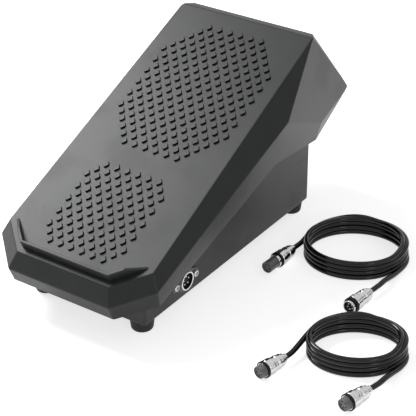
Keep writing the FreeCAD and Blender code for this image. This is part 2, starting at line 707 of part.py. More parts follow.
def make_sector():
    """Toothed arc about the hinge, with a pad that is screwed to the treadle's rib."""
    half = SECTOR_WIDTH / 2
    inner = PITCH_R - SECTOR_BAND
    pitch = 360.0 / (GEAR_RATIO * PINION_TEETH)
    first = -2
    last = math.ceil((PRESS_ANGLE + 3) / pitch)
    outline = []
    for k in range(first, last + 1):
        angle = math.radians(MESH_ANGLE + k * pitch)
        outline += tooth_points(PITCH_R, SECTOR_ADDENDUM, SECTOR_DEDENDUM, angle)
    end = math.radians(MESH_ANGLE + (last + 0.6) * pitch)
    root = PITCH_R - SECTOR_DEDENDUM * GEAR_MODULE
    pad_to = math.radians(SECTOR_PAD_TO)
    steps = 12
    outline += [(end + (pad_to - end) * i / steps, root) for i in range(steps + 1)]
    start = math.radians(MESH_ANGLE + (first - 0.5) * pitch)
    steps = 20
    outline += [(pad_to + (start - pad_to) * i / steps, inner) for i in range(steps + 1)]
    sector = gear_face(outline, hinge, -half).extrude(Vector(SECTOR_WIDTH, 0, 0))
    screws = []
    for angle in SECTOR_SCREWS:
        p = polar(PITCH_R - SECTOR_BAND / 2, angle)
        shank = rod(SCREW_R, Vector(-half - SECTOR_RIB, p.y, p.z), Vector(half, p.y, p.z))
        head = rod(SCREW_HEAD_R, Vector(half, p.y, p.z), Vector(half + SCREW_HEAD, p.y, p.z))
        screws.append(shank.fuse(head))
        sector = sector.cut(rod(SCREW_R, Vector(-half - 1, p.y, p.z), Vector(half + 1, p.y, p.z)))
    save("toothed_sector", sector)
    save("sector_screws", *screws)


def make_pinion():
    outline = []
    for k in range(PINION_TEETH):
        angle = math.radians(MESH_ANGLE + 180 + (k + 0.5) * 360 / PINION_TEETH)
        outline += tooth_points(PINION_R, PINION_ADDENDUM, PINION_DEDENDUM, angle)
    pinion = gear_face(outline, spindle, -PINION_WIDTH / 2).extrude(Vector(PINION_WIDTH, 0, 0))
    hub_end = PINION_WIDTH / 2 + HUB_LENGTH
    pinion = pinion.fuse(rod(HUB_R, at_spindle(PINION_WIDTH / 2), at_spindle(hub_end)))
    pinion = pinion.cut(rod(SPINDLE_R, at_spindle(-20), at_spindle(20)))
    grub_x = PINION_WIDTH / 2 + HUB_LENGTH / 2
    grub = rod(SCREW_R, at_spindle(grub_x) + Vector(0, 0, SPINDLE_R + 0.2), at_spindle(grub_x) + Vector(0, 0, HUB_R - 0.5))
    hole = rod(SCREW_R, at_spindle(grub_x), at_spindle(grub_x) + Vector(0, 0, HUB_R + 2))
    save("pinion", pinion.cut(hole))
    save("pinion_grub_screw", grub)
    save("pot_spindle", rod(SPINDLE_R, at_spindle(-PINION_WIDTH / 2 - 0.5), at_spindle(POT_X + 4)))


def at_spindle(x):
    return Vector(x, spindle.y, spindle.z)


def bracket_screw_ys():
    return [spindle.y - BRACKET_HALF + 4, spindle.y + BRACKET_HALF - 4]


def make_potentiometer():
    body = rod(POT_R, at_spindle(POT_X), at_spindle(POT_X + POT_DEPTH))
    neck = rod(POT_NECK_R, at_spindle(POT_X - POT_NECK), at_spindle(POT_X))
    body = body.fuse(neck).cut(rod(SPINDLE_R + PIN_PLAY, at_spindle(0), at_spindle(POT_X + 5)))
    tabs = []
    for step in (-5, 0, 5):
        y = spindle.y + step
        z = spindle.z - POT_R + 0.4
        drop = POT_R - math.sqrt(POT_R ** 2 - step ** 2)
        x = POT_X + POT_DEPTH / 2
        tabs.append(box(x - 0.3, x + 0.3, y - TAB_WIDTH / 2, y + TAB_WIDTH / 2, z - TAB_LENGTH, z + drop + 1))
    for tab in tabs:
        body = body.cut(tab)
    save("potentiometer", body)
    save("pot_terminals", *tabs)
    nut_r = POT_NUT_AF / math.sqrt(3)
    corners = [at_spindle(BRACKET_X - POT_NUT) + Vector(0, nut_r * math.cos(a), nut_r * math.sin(a))
               for a in [math.radians(60 * k) for k in range(6)]]
    nut = Part.Face(Part.makePolygon(corners + corners[:1])).extrude(Vector(POT_NUT, 0, 0))
    save("pot_nut", nut.cut(rod(POT_NECK_R, at_spindle(0), at_spindle(BRACKET_X))))
    foot_z = base_top_z + FOOT_BOSS
    y0 = spindle.y - BRACKET_HALF
    y1 = spindle.y + BRACKET_HALF
    plate = box(BRACKET_X, POT_X, y0, y1, foot_z, spindle.z + POT_R - 3)
    foot = box(BRACKET_X, BRACKET_X + BRACKET_FOOT, y0, y1, foot_z, foot_z + BRACKET_THICK)
    bracket = plate.fuse(foot).cut(rod(POT_NECK_R, at_spindle(0), at_spindle(POT_X)))
    bracket = bracket.cut(box(POT_X + 1, BRACKET_X + BRACKET_FOOT + 1, y0 + 9, y1 - 9, 0, 60))
    screws = []
    for y in bracket_screw_ys():
        seat = Vector(BRACKET_SCREW_X, y, foot_z + BRACKET_THICK)
        screw = rod(SCREW_R, Vector(BRACKET_SCREW_X, y, base_top_z), seat)
        screws.append(screw.fuse(rod(SCREW_HEAD_R, seat, seat + Vector(0, 0, SCREW_HEAD))))
        bracket = bracket.cut(rod(SCREW_R, Vector(BRACKET_SCREW_X, y, foot_z - 1), seat))
    save("pot_bracket", bracket.removeSplitter())
    save("bracket_screws", *screws)


# Trigger switch

def switch_screw_places():
    z = SWITCH_Z + SWITCH_HEIGHT / 2 - 1
    return [(SWITCH_FRONT_Y + 4, z), (SWITCH_FRONT_Y + SWITCH_LENGTH - 4, z)]


def make_switch():
    x0 = SWITCH_X - SWITCH_WIDTH / 2
    x1 = SWITCH_X + SWITCH_WIDTH / 2
    y1 = SWITCH_FRONT_Y + SWITCH_LENGTH
    top = SWITCH_Z + SWITCH_HEIGHT
    pivot = Vector(SWITCH_X, HINGE_Y, LEVER_Z)
    body = box(x0, x1, SWITCH_FRONT_Y, y1, SWITCH_Z, top)
    ears = box(x0, x1, HINGE_Y - 1.5, y1, top, top + 2.0)
    ears = ears.cut(box(SWITCH_X - LEVER_WIDTH / 2 - 0.3, SWITCH_X + LEVER_WIDTH / 2 + 0.3, 0, 99, top, 99))
    body = body.fuse(ears)
    button_y = HINGE_Y - 6
    body = body.cut(box(SWITCH_X - 1.25, SWITCH_X + 1.25, button_y - 0.85, button_y + 0.85, top - 3, top + 1))
    body = body.cut(rod(LEVER_PIN_R, pivot - Vector(20, 0, 0), pivot + Vector(20, 0, 0)))
    screws = []
    for y, z in switch_screw_places():
        screw = rod(1.0, Vector(x0 - SWITCH_POST + 1, y, z), Vector(x1, y, z))
        screws.append(screw.fuse(rod(1.9, Vector(x1, y, z), Vector(x1 + 1.3, y, z))))
        body = body.cut(rod(1.0, Vector(x0 - 1, y, z), Vector(x1 + 1, y, z)))
    tabs = []
    for z in (SWITCH_Z + 2, SWITCH_Z + 5, SWITCH_Z + 8):
        tabs.append(box(SWITCH_X - 0.25, SWITCH_X + 0.25, y1, y1 + 4, z - 0.8, z + 0.8))
    save("switch_body", body)
    save("switch_screws", *screws)
    save("switch_terminals", *tabs)
    save("switch_lever_pin", rod(LEVER_PIN_R, Vector(x0, pivot.y, pivot.z), Vector(x1, pivot.y, pivot.z)))
    eye = rod(1.0, pivot - Vector(LEVER_WIDTH / 2, 0, 0), pivot + Vector(LEVER_WIDTH / 2, 0, 0))
    strip = box(SWITCH_X - LEVER_WIDTH / 2, SWITCH_X + LEVER_WIDTH / 2, HINGE_Y - LEVER_ARM, HINGE_Y,
                lever_top_z - LEVER_THICK, lever_top_z)
    lever = eye.fuse(strip).cut(rod(LEVER_PIN_R + 0.05, pivot - Vector(9, 0, 0), pivot + Vector(9, 0, 0)))
    save("switch_lever", lever.removeSplitter())
    save("switch_plunger", box(SWITCH_X - 1.2, SWITCH_X + 1.2, button_y - 0.8, button_y + 0.8,
                               top - 2.9, lever_top_z - LEVER_THICK - 0.08))


# Panel socket

def socket_screw_ys():
    return [SOCKET_Y - SCREW_SPACING / 2, SOCKET_Y + SCREW_SPACING / 2]


def along_x(radius, x0, x1, y=SOCKET_Y, z=SOCKET_Z):
    return rod(radius, Vector(x0, y, z), Vector(x1, y, z))


def contact_places(ring, count):
    return [(SOCKET_Y + ring * math.cos(a), SOCKET_Z + ring * math.sin(a))
            for a in [math.radians(90 + 360 * k / count) for k in range(count)]]


def make_socket():
    face = BASE_HALF
    flange_end = face + FLANGE_THICK
    rim = flange_end + BARREL_PROUD
    ends = [along_x(FLANGE_END_R, face, flange_end, y) for y in socket_screw_ys()]
    waist = along_x(FLANGE_WAIST_R, face, flange_end)
    flat = math.sqrt(FLANGE_WAIST_R ** 2 - 3.0 ** 2)
    half = SCREW_SPACING / 2
    web = prism_x([(SOCKET_Y - half, SOCKET_Z - FLANGE_END_R), (SOCKET_Y - 3, SOCKET_Z - flat),
                   (SOCKET_Y + 3, SOCKET_Z - flat), (SOCKET_Y + half, SOCKET_Z - FLANGE_END_R),
                   (SOCKET_Y + half, SOCKET_Z + FLANGE_END_R), (SOCKET_Y + 3, SOCKET_Z + flat),
                   (SOCKET_Y - 3, SOCKET_Z + flat), (SOCKET_Y - half, SOCKET_Z + FLANGE_END_R)], face, flange_end)
    back = face - INSERT_BACK
    shell = waist.fuse(ends + [web, along_x(BARREL_R, back, rim)])
    shell = shell.cut([along_x(BARREL_BORE, back - 1, rim + 1), along_x(MOUTH_R, rim - MOUTH_DEPTH, rim + 1)])
    screws = []
    for y in socket_screw_ys():
        shell = shell.cut(along_x(SCREW_R, face - 1, flange_end + 1, y))
        screw = along_x(SCREW_R, face - BASE_WALL - 3, flange_end, y)
        head = along_x(SCREW_HEAD_R, flange_end, flange_end + SCREW_HEAD, y)
        dome = [e for e in head.Edges if e.BoundBox.XMin > flange_end + SCREW_HEAD - 0.1]
        cross = box(flange_end + 0.8, flange_end + 9, y - 0.4, y + 0.4, SOCKET_Z - 1.8, SOCKET_Z + 1.8)
        cross = cross.fuse(box(flange_end + 0.8, flange_end + 9, y - 1.8, y + 1.8, SOCKET_Z - 0.4, SOCKET_Z + 0.4))
        screws.append(screw.fuse(head.makeFillet(0.9, dome)).cut(cross))
    insert_face = rim - INSERT_RECESS
    insert = along_x(BARREL_BORE, back, insert_face)
    contacts = []
    for y, z in contact_places(CONTACT_RING, CONTACTS):
        contact = along_x(CONTACT_R, back - 4, insert_face + CONTACT_LENGTH - CONTACT_R, y, z)
        tip = Part.makeSphere(CONTACT_R, Vector(insert_face + CONTACT_LENGTH - CONTACT_R, y, z))
        contacts.append(contact.fuse(tip))
        insert = insert.cut(along_x(CONTACT_R, back - 1, insert_face + 1, y, z))
    save("socket_shell", shell.removeSplitter())
    save("socket_insert", insert)
    save("socket_contacts", *contacts)
    save("socket_screws", *screws)


# Wires and leads

def route(points):
    """Straight runs joined by tangent arcs, each as large as its two runs allow."""
    edges = []
    radii = []
    at = points[0]
    for before, corner, after in zip(points, points[1:], points[2:]):
        into = corner - before
        out = after - corner
        turn = into.getAngle(out)
        reach = 0.45 * min(into.Length, out.Length)
        radii.append(reach / math.tan(turn / 2))
        start = corner - Vector(into).normalize() * reach
        end = corner + Vector(out).normalize() * reach
        bisector = (Vector(out).normalize() - Vector(into).normalize()).normalize()
        middle = corner + bisector * (radii[-1] / math.cos(turn / 2) - radii[-1])
        edges.append(Part.LineSegment(at, start).toShape())
        edges.append(Part.Arc(start, middle, end).toShape())
        at = end
    edges.append(Part.LineSegment(at, points[-1]).toShape())
    return Part.Wire(edges), radii


def tube(name, points, radius):
    path, radii = route(points)
    section = Part.Wire(Part.makeCircle(radius, points[0], points[1] - points[0]))
    solid = path.makePipeShell([section], True, False)
    share = solid.Volume / (path.Length * math.pi * radius ** 2)
    print(name, "length", round(path.Length, 1), "volume share", round(share, 4),
          "radii", [round(r / (2 * radius), 1) for r in radii], "diameters")
    save(name, solid)


def make_wires():
    """Two wire bundles inside the tray, from the socket's back to the potentiometer and the switch."""
    back = BASE_HALF - INSERT_BACK - 4
    pot_x = POT_X + POT_DEPTH / 2
    end_z = spindle.z - POT_R + 0.4 - TAB_LENGTH
    z = SOCKET_Z
    pot_wire = [Vector(back, SOCKET_Y + 1.6, z + 1), Vector(back - 5, SOCKET_Y + 1.6, z + 1),
                Vector(back - 8, SOCKET_Y + 6, z - 1), Vector(back - 7, SOCKET_Y + 12, z - 4),
                Vector(back - 3, SOCKET_Y + 19, z - 7), Vector(back + 1, SOCKET_Y + 30, z - 8.5),
                Vector(back + 3, SOCKET_Y + 46, z - 9), Vector(back + 3, SOCKET_Y + 62, z - 7),
                Vector(back + 1, spindle.y - 16, z - 2), Vector(back - 4, spindle.y - 7, z + 0.5),
                Vector(back - 12, spindle.y - 2, z + 0.2), Vector(pot_x + 4, spindle.y, z - 1.5),
                Vector(pot_x, spindle.y, z - 0.5), Vector(pot_x, spindle.y, end_z)]
    tube("wires_to_potentiometer", pot_wire, 1.4)
    y1 = SWITCH_FRONT_Y + SWITCH_LENGTH + 4
    switch_wire = [Vector(back, SOCKET_Y - 1.8, z + 1), Vector(back - 6, SOCKET_Y - 1.8, z + 1),
                   Vector(back - 13, SOCKET_Y - 1, z - 3), Vector(back - 23, SOCKET_Y, z - 8),
                   Vector(back - 36, SOCKET_Y + 2, z - 9.5), Vector(SWITCH_X + 14, SOCKET_Y - 2, z - 9),
                   Vector(SWITCH_X + 4, y1 + 12, z - 8), Vector(SWITCH_X, y1 + 6, SWITCH_Z + 5),
                   Vector(SWITCH_X, y1, SWITCH_Z + 5)]
    tube("wires_to_switch", switch_wire, 1.1)


def make_plug(name, rear, turn, length, reach, seal_width, collar_end, pins):
    """Chrome shell, sealing ring and insert of one plug, from its rear end towards its face."""
    axis = Vector(-math.sin(math.radians(turn)), -math.cos(math.radians(turn)), 0)
    start = Vector(rear[0], rear[1], PLUG_Z)
    bore = PIN_BORE_R if pins else PLUG_INSERT_R
    profile = [(0, 0), (PLUG_NECK_R, 0), (PLUG_NECK_R, 2.2), (4.6, 3.0), (5.4, 5.4), (5.4, 8.2), (6.2, 9.0),
               (6.2, 10.6), (5.7, 11.2), (5.7, 12.0), (6.7, 12.8), (6.7, length - 6.5), (PLUG_R, length - 5.6),
               (PLUG_R, length - 0.6), (PLUG_R - 0.6, length), (SEAL_SEAT_R, length),
               (SEAL_SEAT_R, length + seal_width), (COLLAR_R, length + seal_width), (COLLAR_R, length + collar_end),
               (bore, length + collar_end), (bore, length - 6), (0, length - 6)]
    save(name + "_shell", turned(profile, start, axis))
    front = start + axis * length
    seal = [(SEAL_SEAT_R, 0), (SEAL_R, 0), (SEAL_R, seal_width), (SEAL_SEAT_R, seal_width)]
    save(name + "_seal", turned(seal, front, axis))
    end = 6.5 if pins else 6 + reach
    insert_start = start + axis * (length - 6)
    insert = turned([(0, 0), (bore, 0), (bore, end - 0.5), (bore - 0.5, end), (0, end)], insert_start, axis)
    side = axis.cross(Vector(0, 0, 1))
    contacts = []
    for k in range(CONTACTS):
        a = math.radians(90 + 360 * k / CONTACTS)
        offset = side * (CONTACT_RING * math.cos(a) * 0.8) + Vector(0, 0, CONTACT_RING * math.sin(a) * 0.8)
        if pins:
            contact = rod(CONTACT_R, insert_start + axis + offset, insert_start + axis * (end + PIN_REACH) + offset)
            contacts.append(contact)
        else:
            contact = rod(CONTACT_R, insert_start + axis * (end - 3) + offset, insert_start + axis * (end + 1) + offset)
        insert = insert.cut(contact)
    save(name + "_insert", insert)
    if pins:
        save(name + "_contacts", *contacts)


def oval(middle, half_length, half_width, height):
    """Upright solid with an oval outline, turned by the coils' tilt."""
    edge = Part.Ellipse(middle, half_length, half_width).toShape()
    edge.rotate(middle, Vector(0, 0, 1), COIL_TILT)
    return Part.Face(Part.Wire(edge)).extrude(Vector(0, 0, height))


def make_lead(name, coil, halves, tails):
    """One lead: its coil as an oval ring, and the two stretches between the coil and its plugs."""
    middle = Vector(coil[0], coil[1], 0)
    grow = CORD_R + COIL_CLEARANCE
    height = 2 * CORD_R + (COIL_TURNS - 1) * COIL_RISE + COIL_CLEARANCE
    outer = oval(middle, halves[0] + grow, halves[1] + grow, height)
    inner = oval(middle, halves[0] - grow, halves[1] - grow, height)
    save(name + "_coil", outer.cut(inner))
    for side, plug, first, rest in tails:
        rear, turn = plug[:2]
        away = Vector(math.sin(math.radians(turn)), math.cos(math.radians(turn)), 0)
        start = Vector(rear[0], rear[1], PLUG_Z)
        tube(name + "_tail_" + side, [start, start + away * first] + [Vector(*p) for p in rest], CORD_R)


PITCH_R = GEAR_MODULE * GEAR_RATIO * PINION_TEETH / 2
PINION_R = GEAR_MODULE * PINION_TEETH / 2
SECTOR_SCREWS = (SECTOR_PAD_FROM + 2.0, SECTOR_PAD_TO - 3.0)
POT_X = BRACKET_X + BRACKET_THICK
BRACKET_SCREW_X = BRACKET_X + BRACKET_FOOT - 6
BUMPER_Y = BASE_REAR_Y - BASE_WALL - BUMPER_R - 1.0
SWITCH_Z = base_top_z + 1.0
LEVER_Z = SWITCH_Z + SWITCH_HEIGHT + 1.0
lever_top_z = LEVER_Z + 0.25
spindle = polar(PITCH_R + PINION_R, MESH_ANGLE)

os.makedirs("parts", exist_ok=True)
foot_screw_top = make_feet()
make_treadle()
make_studs()
make_tray()
make_rest_pad()
make_bumpers()
make_hinge()
make_springs()
make_sector()
make_pinion()
make_potentiometer()
make_switch()
make_socket()
make_wires()
for number, plug in PLUGS.items():
    make_plug("plug_" + str(number), *plug)
make_lead("lead_1", LEAD_1_COIL, LEAD_1_HALVES, [
    ("left", PLUGS[1], 4.6, [(87.0, 194.6, 7.6), (86.8, 201.2, 8.2), (86.0, 208.2, 9.3), (86.2, 215.4, 10.6),
                             (88.3, 222.4, 12.0), (92.2, 228.8, 13.6), (97.6, 234.4, 15.3), (104.3, 238.9, 16.8),
                             (111.0, 241.6, 17.5)]),
    ("right", PLUGS[2], 6.0, [(169.5, 176.6, 7.5), (169.8, 183.6, 6.8), (170.1, 190.6, 5.6), (170.2, 197.8, 4.3),
                              (169.9, 205.0, 3.2), (169.5, 212.2, 2.5), (168.9, 219.2, 2.2), (167.2, 226.0, 2.2),
                              (164.2, 232.2, 2.2), (160.0, 237.6, 2.2)]),
])
make_lead("lead_2", LEAD_2_COIL, LEAD_2_HALVES, [
    ("left", PLUGS[3], 4.0, [(160.3, 63.6, 7.6), (159.7, 69.4, 7.7), (159.0, 75.6, 7.9), (158.1, 82.0, 8.7),
                             (157.4, 88.6, 9.7), (157.6, 95.2, 10.8), (159.0, 101.7, 12.0), (161.7, 107.7, 13.3),
                             (165.7, 113.0, 14.8), (170.9, 116.9, 16.3), (176.9, 119.5, 17.3)]),
    ("right", PLUGS[4], 5.0, [(229.9, 66.6, 7.5), (230.5, 72.6, 7.0), (230.7, 78.8, 6.0), (230.8, 85.0, 4.8),
                              (231.1, 91.4, 3.5), (231.0, 97.6, 2.7), (230.3, 103.8, 2.3), (228.2, 109.6, 2.2),
                              (224.9, 114.6, 2.2), (220.6, 118.6, 2.2)]),
])
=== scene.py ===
"""Foot pedal of a welding machine with two extension leads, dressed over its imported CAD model."""

import bmesh
import bpy
import json
import math
from mathutils import Matrix, Vector


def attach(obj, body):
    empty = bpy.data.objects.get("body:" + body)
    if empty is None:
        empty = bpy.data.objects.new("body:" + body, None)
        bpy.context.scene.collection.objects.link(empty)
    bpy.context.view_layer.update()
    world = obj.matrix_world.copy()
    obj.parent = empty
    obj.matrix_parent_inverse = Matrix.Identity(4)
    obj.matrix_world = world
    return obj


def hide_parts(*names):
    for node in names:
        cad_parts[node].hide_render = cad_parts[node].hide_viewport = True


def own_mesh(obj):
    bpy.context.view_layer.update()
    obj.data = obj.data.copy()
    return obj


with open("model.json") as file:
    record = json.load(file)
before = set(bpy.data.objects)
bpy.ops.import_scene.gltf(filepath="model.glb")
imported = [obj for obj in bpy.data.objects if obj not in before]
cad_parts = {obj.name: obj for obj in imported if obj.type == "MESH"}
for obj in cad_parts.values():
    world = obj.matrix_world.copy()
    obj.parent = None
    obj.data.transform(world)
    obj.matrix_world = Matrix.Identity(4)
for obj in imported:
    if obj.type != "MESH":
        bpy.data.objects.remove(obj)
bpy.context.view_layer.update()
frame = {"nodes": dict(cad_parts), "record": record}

# Camera that matches the photograph, with its focal length in pixels of the frame
CAMERA_AZIMUTH = math.radians(34.5)
CAMERA_ELEVATION = math.radians(30.3)
CAMERA_PLACE = (0.5949, -0.8332, 0.6275)
CAMERA_SENSOR = 36.0
CAMERA_CLIP = (0.01, 50.0)
FRAME_WIDTH = 416.0
FOCAL_LENGTH = 1457.0

# Treadle, in millimetres from the top front edge of the treadle, as in the part's source
MIDDLE_Y = 155.95
SLOPE = math.radians(24.6)
TOP_FRONT_Z = 52.7
COVER_WALL = 2.4
COVER_EDGE = 1.0
COVER_CORNERS = {
    "front": (43.0, 0.0, TOP_FRONT_Z),
    "side": (67.5, 21.2, 62.41),
    "rear": (63.0, 243.0, 163.96),
    "bevel": (57.5, 251.7, 162.76),
    "ridge_front": (47.3, -6.3, 39.4),
    "ridge_side": (73.8, 17.3, 50.0),
    "ridge_fold": (76.1, 187.4, 115.8),
    "toe": (56.0, 318.2, 90.4),
    "toe_fold": (66.2, 256.4, 83.7),
    "rim_front": (47.1, -0.8, 26.6),
    "rim_side": (70.7, 23.6, 33.5),
    "rim_fold": (67.4, 184.5, 77.6),
    "rim_rear": (60.7, 258.3, 65.2),
}
MIDDLE_FACES = [
    ("front", "side", "rear"),
    ("rear", "bevel"),
    ("bevel", "toe"),
    ("toe", "rim_rear"),
    ("front", "ridge_front"),
    ("ridge_front", "rim_front"),
]
SIDE_FACES = [
    ("front", "side", "ridge_side", "ridge_front"),
    ("ridge_front", "ridge_side", "rim_side", "rim_front"),
    ("side", "rear", "ridge_fold", "ridge_side"),
    ("ridge_fold", "rim_fold", "rim_side", "ridge_side"),
    ("rear", "toe", "toe_fold", "ridge_fold"),
    ("ridge_fold", "toe_fold", "rim_rear", "rim_fold"),
    ("rear", "bevel", "toe"),
    ("toe", "rim_rear", "toe_fold"),
]
LIP_HEIGHT = 7.0
LIP_END_HEIGHT = 0.15
LIP_SINK = 1.0
LIP_WALL = 2.4
LIP_INSET = 5.0
LIP_ARM = 29.5
LIP_FULL = 13.0
LIP_EDGE = 0.8

# Studs: each field has its first row's place up the slope, its columns, its rows and its cut corners
STUD_PITCH_X = 5.0
STUD_PITCH_V = 6.4
STUD_SIDE = 4.6
STUD_HEIGHT = 1.3
STUD_SINK = 0.3
STUD_BLUNT = 0.13
STUD_TAPER = [(0.98, 0.3), (0.95, 0.1), (0.9, 0.0)]
STUD_FIELDS = [(153.3, 20, (-5, 15), 5), (32.0, 14, (-2, 10), 2)]

# Rounded corners of turned pieces
ON_AXIS = 1e-6
LEAST_ROUNDING = 1e-4
ROUNDING_SHARE = 0.45
ROUNDING_STEPS = (0.0, 0.25, 0.5, 0.75, 1.0)

# Return springs
SPRING_X = 34.0
SPRING_Y = 112.0
SPRING_LOW_Z = 18.0
SPRING_TOP_Z = 66.0
SPRING_R = 8.0
SPRING_WIRE_R = 1.0
SPRING_TURNS = 6
SPRING_CLOSED = 0.9
SPRING_STEPS = 24
SPRING_SIDES = 10
SPRING_PLAY = 0.5

# Panel socket, with distances out of the wall of the tray
SOCKET_Y = 72.8
SOCKET_Z = 25.8
WALL_X = 57.0
BARREL_R = 7.6
BARREL_BORE_R = 6.1
BARREL_BACK = -9.0
BARREL_FRONT = 4.2
MOUTH_R = 6.5
MOUTH_BACK = 1.8
SOCKET_FACE = 1.75
SLEEVE_R = 6.45
SLEEVE_BORE_R = 6.15
SLEEVE_BACK = 1.85
SLEEVE_FRONT = 3.8
INSERT_PLAY = 0.05
SOCKET_PIN = [(0, 1.2), (0.6, 1.2), (0.6, 2.4), (0.42, 2.75), (0, 2.85)]
SOCKET_PIN_RING_R = 3.4
FLANGE_END_R = 4.4
FLANGE_WAIST_R = 9.2
FLANGE_REACH = 12.5
FLANGE_THICK = 2.0
FLANGE_EDGE = 0.35
FLANGE_END_STEPS = 12
FLANGE_WAIST_STEPS = 4

# Plugs: the shell's profile is given from its rear and then back from its front edge
CONTACTS = 5
CONTACT_RING_R = 2.4
PLUG_Z = 6.6
PLUG_SCALE = 0.87
SHELL_REAR = [(0, 0), (3.3, 0), (3.3, 2.2), (4.9, 2.8), (5.0, 5.0), (6.0, 5.5), (6.0, 8.4), (6.5, 9.0),
              (6.5, 10.6), (5.9, 11.1), (5.9, 11.9), (6.7, 12.5)]
SHELL_FRONT = [(6.7, 6.5), (7.4, 5.6), (7.4, 0.6), (6.8, 0)]
SEAL_R = 6.45
SEAL_SEAT_R = 5.1
COLLAR_R = 5.5
INSERT_DEPTH = 6
MALE_FACE = -0.6
MALE_RIM = 0.5
MALE_PIN = [(0, MALE_FACE), (0.55, MALE_FACE), (0.55, 3.6), (0.3, 4.0), (0, 4.1)]
FEMALE_RECESS = 0.9
FEMALE_RIM = 0.6
# Thin black discs of painted shade, each standing for one contact hole of a female plug
HOLE_SHADE_R = 0.75
HOLE_SHADE_BELOW = 0.1
HOLE_SHADE_ABOVE = 0.05
PLUGS = {
    1: {"rear": (86.3, 184.3), "turn": 3.5, "length": 21.0,
        "seal": 1.9, "collar": 4.8, "bore": 4.8, "reach": 15.5},
    2: {"rear": (168.2, 164.1), "turn": 6.0, "length": 23.0,
        "seal": 3.4, "collar": 5.4, "bore": 4.6, "reach": 0.6},
    3: {"rear": (159.2, 54.9), "turn": 12.0, "length": 21.0,
        "seal": 2.2, "collar": 2.3, "bore": 4.8, "reach": 6.4},
    4: {"rear": (227.6, 56.2), "turn": 13.5, "length": 21.0,
        "seal": 2.2, "collar": 2.3, "bore": 4.8, "reach": 6.4},
}
MALE_PLUGS = (2,)

# Cords: angles in degrees round the coil, wound clockwise and so falling
CORD_R = 2.1
CORD_LIFT = 0.05
COIL_TILT = math.radians(34.5)
COIL_RISE = 4.12
COIL_TURNS = 4
COIL_FIRST = 57.0
COIL_LAST = -1420.0
CROSSING_FIRST = -12.0
CROSSING_SPAN = 50.0
COIL_WANDER = [(1.0, 0.61, 1.3), (0.6, 1.37, 4.0)]
FIRST_STRAND_INWARD = 3.4
FIRST_STRAND_UP = 0.42
POINTS_PER_TURN = 20

# Surfaces
COVER_DARK = (0.019, 0.02, 0.021)
COVER_LIGHT = (0.025, 0.026, 0.027)
COVER_ROUGH = (0.37, 0.41)
COVER_GRAIN = (2200.0, 0.35)
COVER_SPECULAR = 0.22
# Studs' sides: near-black painted shade, without gloss
STUD_SIDE_PAINTED_SHADE = (0.006, 0.006, 0.006, 1)
STUD_SIDE_ROUGH = 0.8
MASK_RANGE = (0.3, 0.7)
SCUFF_RANGE = (0.62, 0.72)
SMUDGE_RANGE = (0.42, 0.7)
TOP_FACE_RANGE = (0.55, 0.9)
GRAIN_RELIEF = 0.00012
LINE_RELIEF = 0.00005
FINE_LINES = (1200.0, 0.06)
MILL_LINES = (900.0, 0.15)

# Each moulded finish has its label, dark and light tone, roughness, grain, specular level and handling
MOULDED = {
    "cover_plastic": ("satin charcoal treadle", COVER_DARK, COVER_LIGHT, COVER_ROUGH, COVER_GRAIN,
                      COVER_SPECULAR, True),
    "base_plastic": ("satin charcoal tray", (0.038, 0.039, 0.04), (0.05, 0.051, 0.052), (0.42, 0.52),
                     COVER_GRAIN, 0.35, True),
    "rubber": ("matt black rubber", (0.014, 0.014, 0.015), (0.022, 0.022, 0.023), (0.62, 0.75),
               (1500.0, 0.4), 0.4, False),
    "cord_jacket": ("smooth black jacket", (0.005, 0.005, 0.0055), (0.008, 0.008, 0.0085), (0.09, 0.13),
                    (3000.0, 0.06), 0.3, False),
    "insert_plastic": ("black insert", (0.008, 0.008, 0.009), (0.012, 0.012, 0.013), (0.45, 0.55),
                       (3000.0, 0.2), 0.2, False),
    "pin_insert_plastic": ("slate insert", (0.05, 0.058, 0.066), (0.07, 0.078, 0.088), (0.35, 0.45),
                           (3000.0, 0.2), 0.5, False),
    "plug_face_plastic": ("mid grey insert", (0.11, 0.112, 0.115), (0.15, 0.152, 0.155), (0.3, 0.38),
                          (3000.0, 0.1), 0.5, False),
    "seal_rubber": ("sealing rubber", (0.006, 0.006, 0.006), (0.01, 0.01, 0.01), (0.5, 0.6),
                    (1500.0, 0.2), 0.15, False),
    "switch_plastic": ("black switch case", (0.018, 0.018, 0.018), (0.028, 0.028, 0.028), (0.4, 0.5),
                       (2500.0, 0.3), 0.5, False),
    "gear_plastic": ("natural acetal", (0.74, 0.73, 0.68), (0.82, 0.81, 0.77), (0.3, 0.4),
                     (3000.0, 0.1), 0.5, False),
    "wire": ("black sleeve", (0.015, 0.015, 0.015), (0.025, 0.025, 0.025), (0.4, 0.5),
             (2500.0, 0.3), 0.5, False),
}

# Each metal has its label, dark and light tone, roughness and lines
METALS = {
    "ring_plating": ("satin plating", (0.8, 0.8, 0.8), (0.9, 0.9, 0.9), (0.26, 0.34), FINE_LINES),
    # The flange's plating is far darker than the barrel's
    "flange_plating": ("dark plating", (0.07, 0.07, 0.075), (0.11, 0.11, 0.115), (0.12, 0.18), FINE_LINES),
    "nickel": ("bright plating", (0.5, 0.5, 0.505), (0.62, 0.62, 0.62), (0.05, 0.1), FINE_LINES),
    "steel_screw": ("zinc-plated steel", (0.5, 0.5, 0.5), (0.66, 0.66, 0.65), (0.22, 0.34), MILL_LINES),
    "ground_steel": ("ground steel", (0.52, 0.52, 0.53), (0.64, 0.64, 0.65), (0.14, 0.24), MILL_LINES),
    "spring_steel": ("spring steel", (0.38, 0.38, 0.38), (0.5, 0.5, 0.5), (0.24, 0.36), MILL_LINES),
    "pot_metal": ("nickel-plated case", (0.48, 0.47, 0.44), (0.6, 0.59, 0.55), (0.2, 0.32), MILL_LINES),
    "bracket_steel": ("zinc-plated sheet", (0.5, 0.51, 0.52), (0.64, 0.65, 0.66), (0.26, 0.4), MILL_LINES),
    "brass": ("contact brass", (0.7, 0.54, 0.27), (0.82, 0.65, 0.34), (0.18, 0.3), MILL_LINES),
}

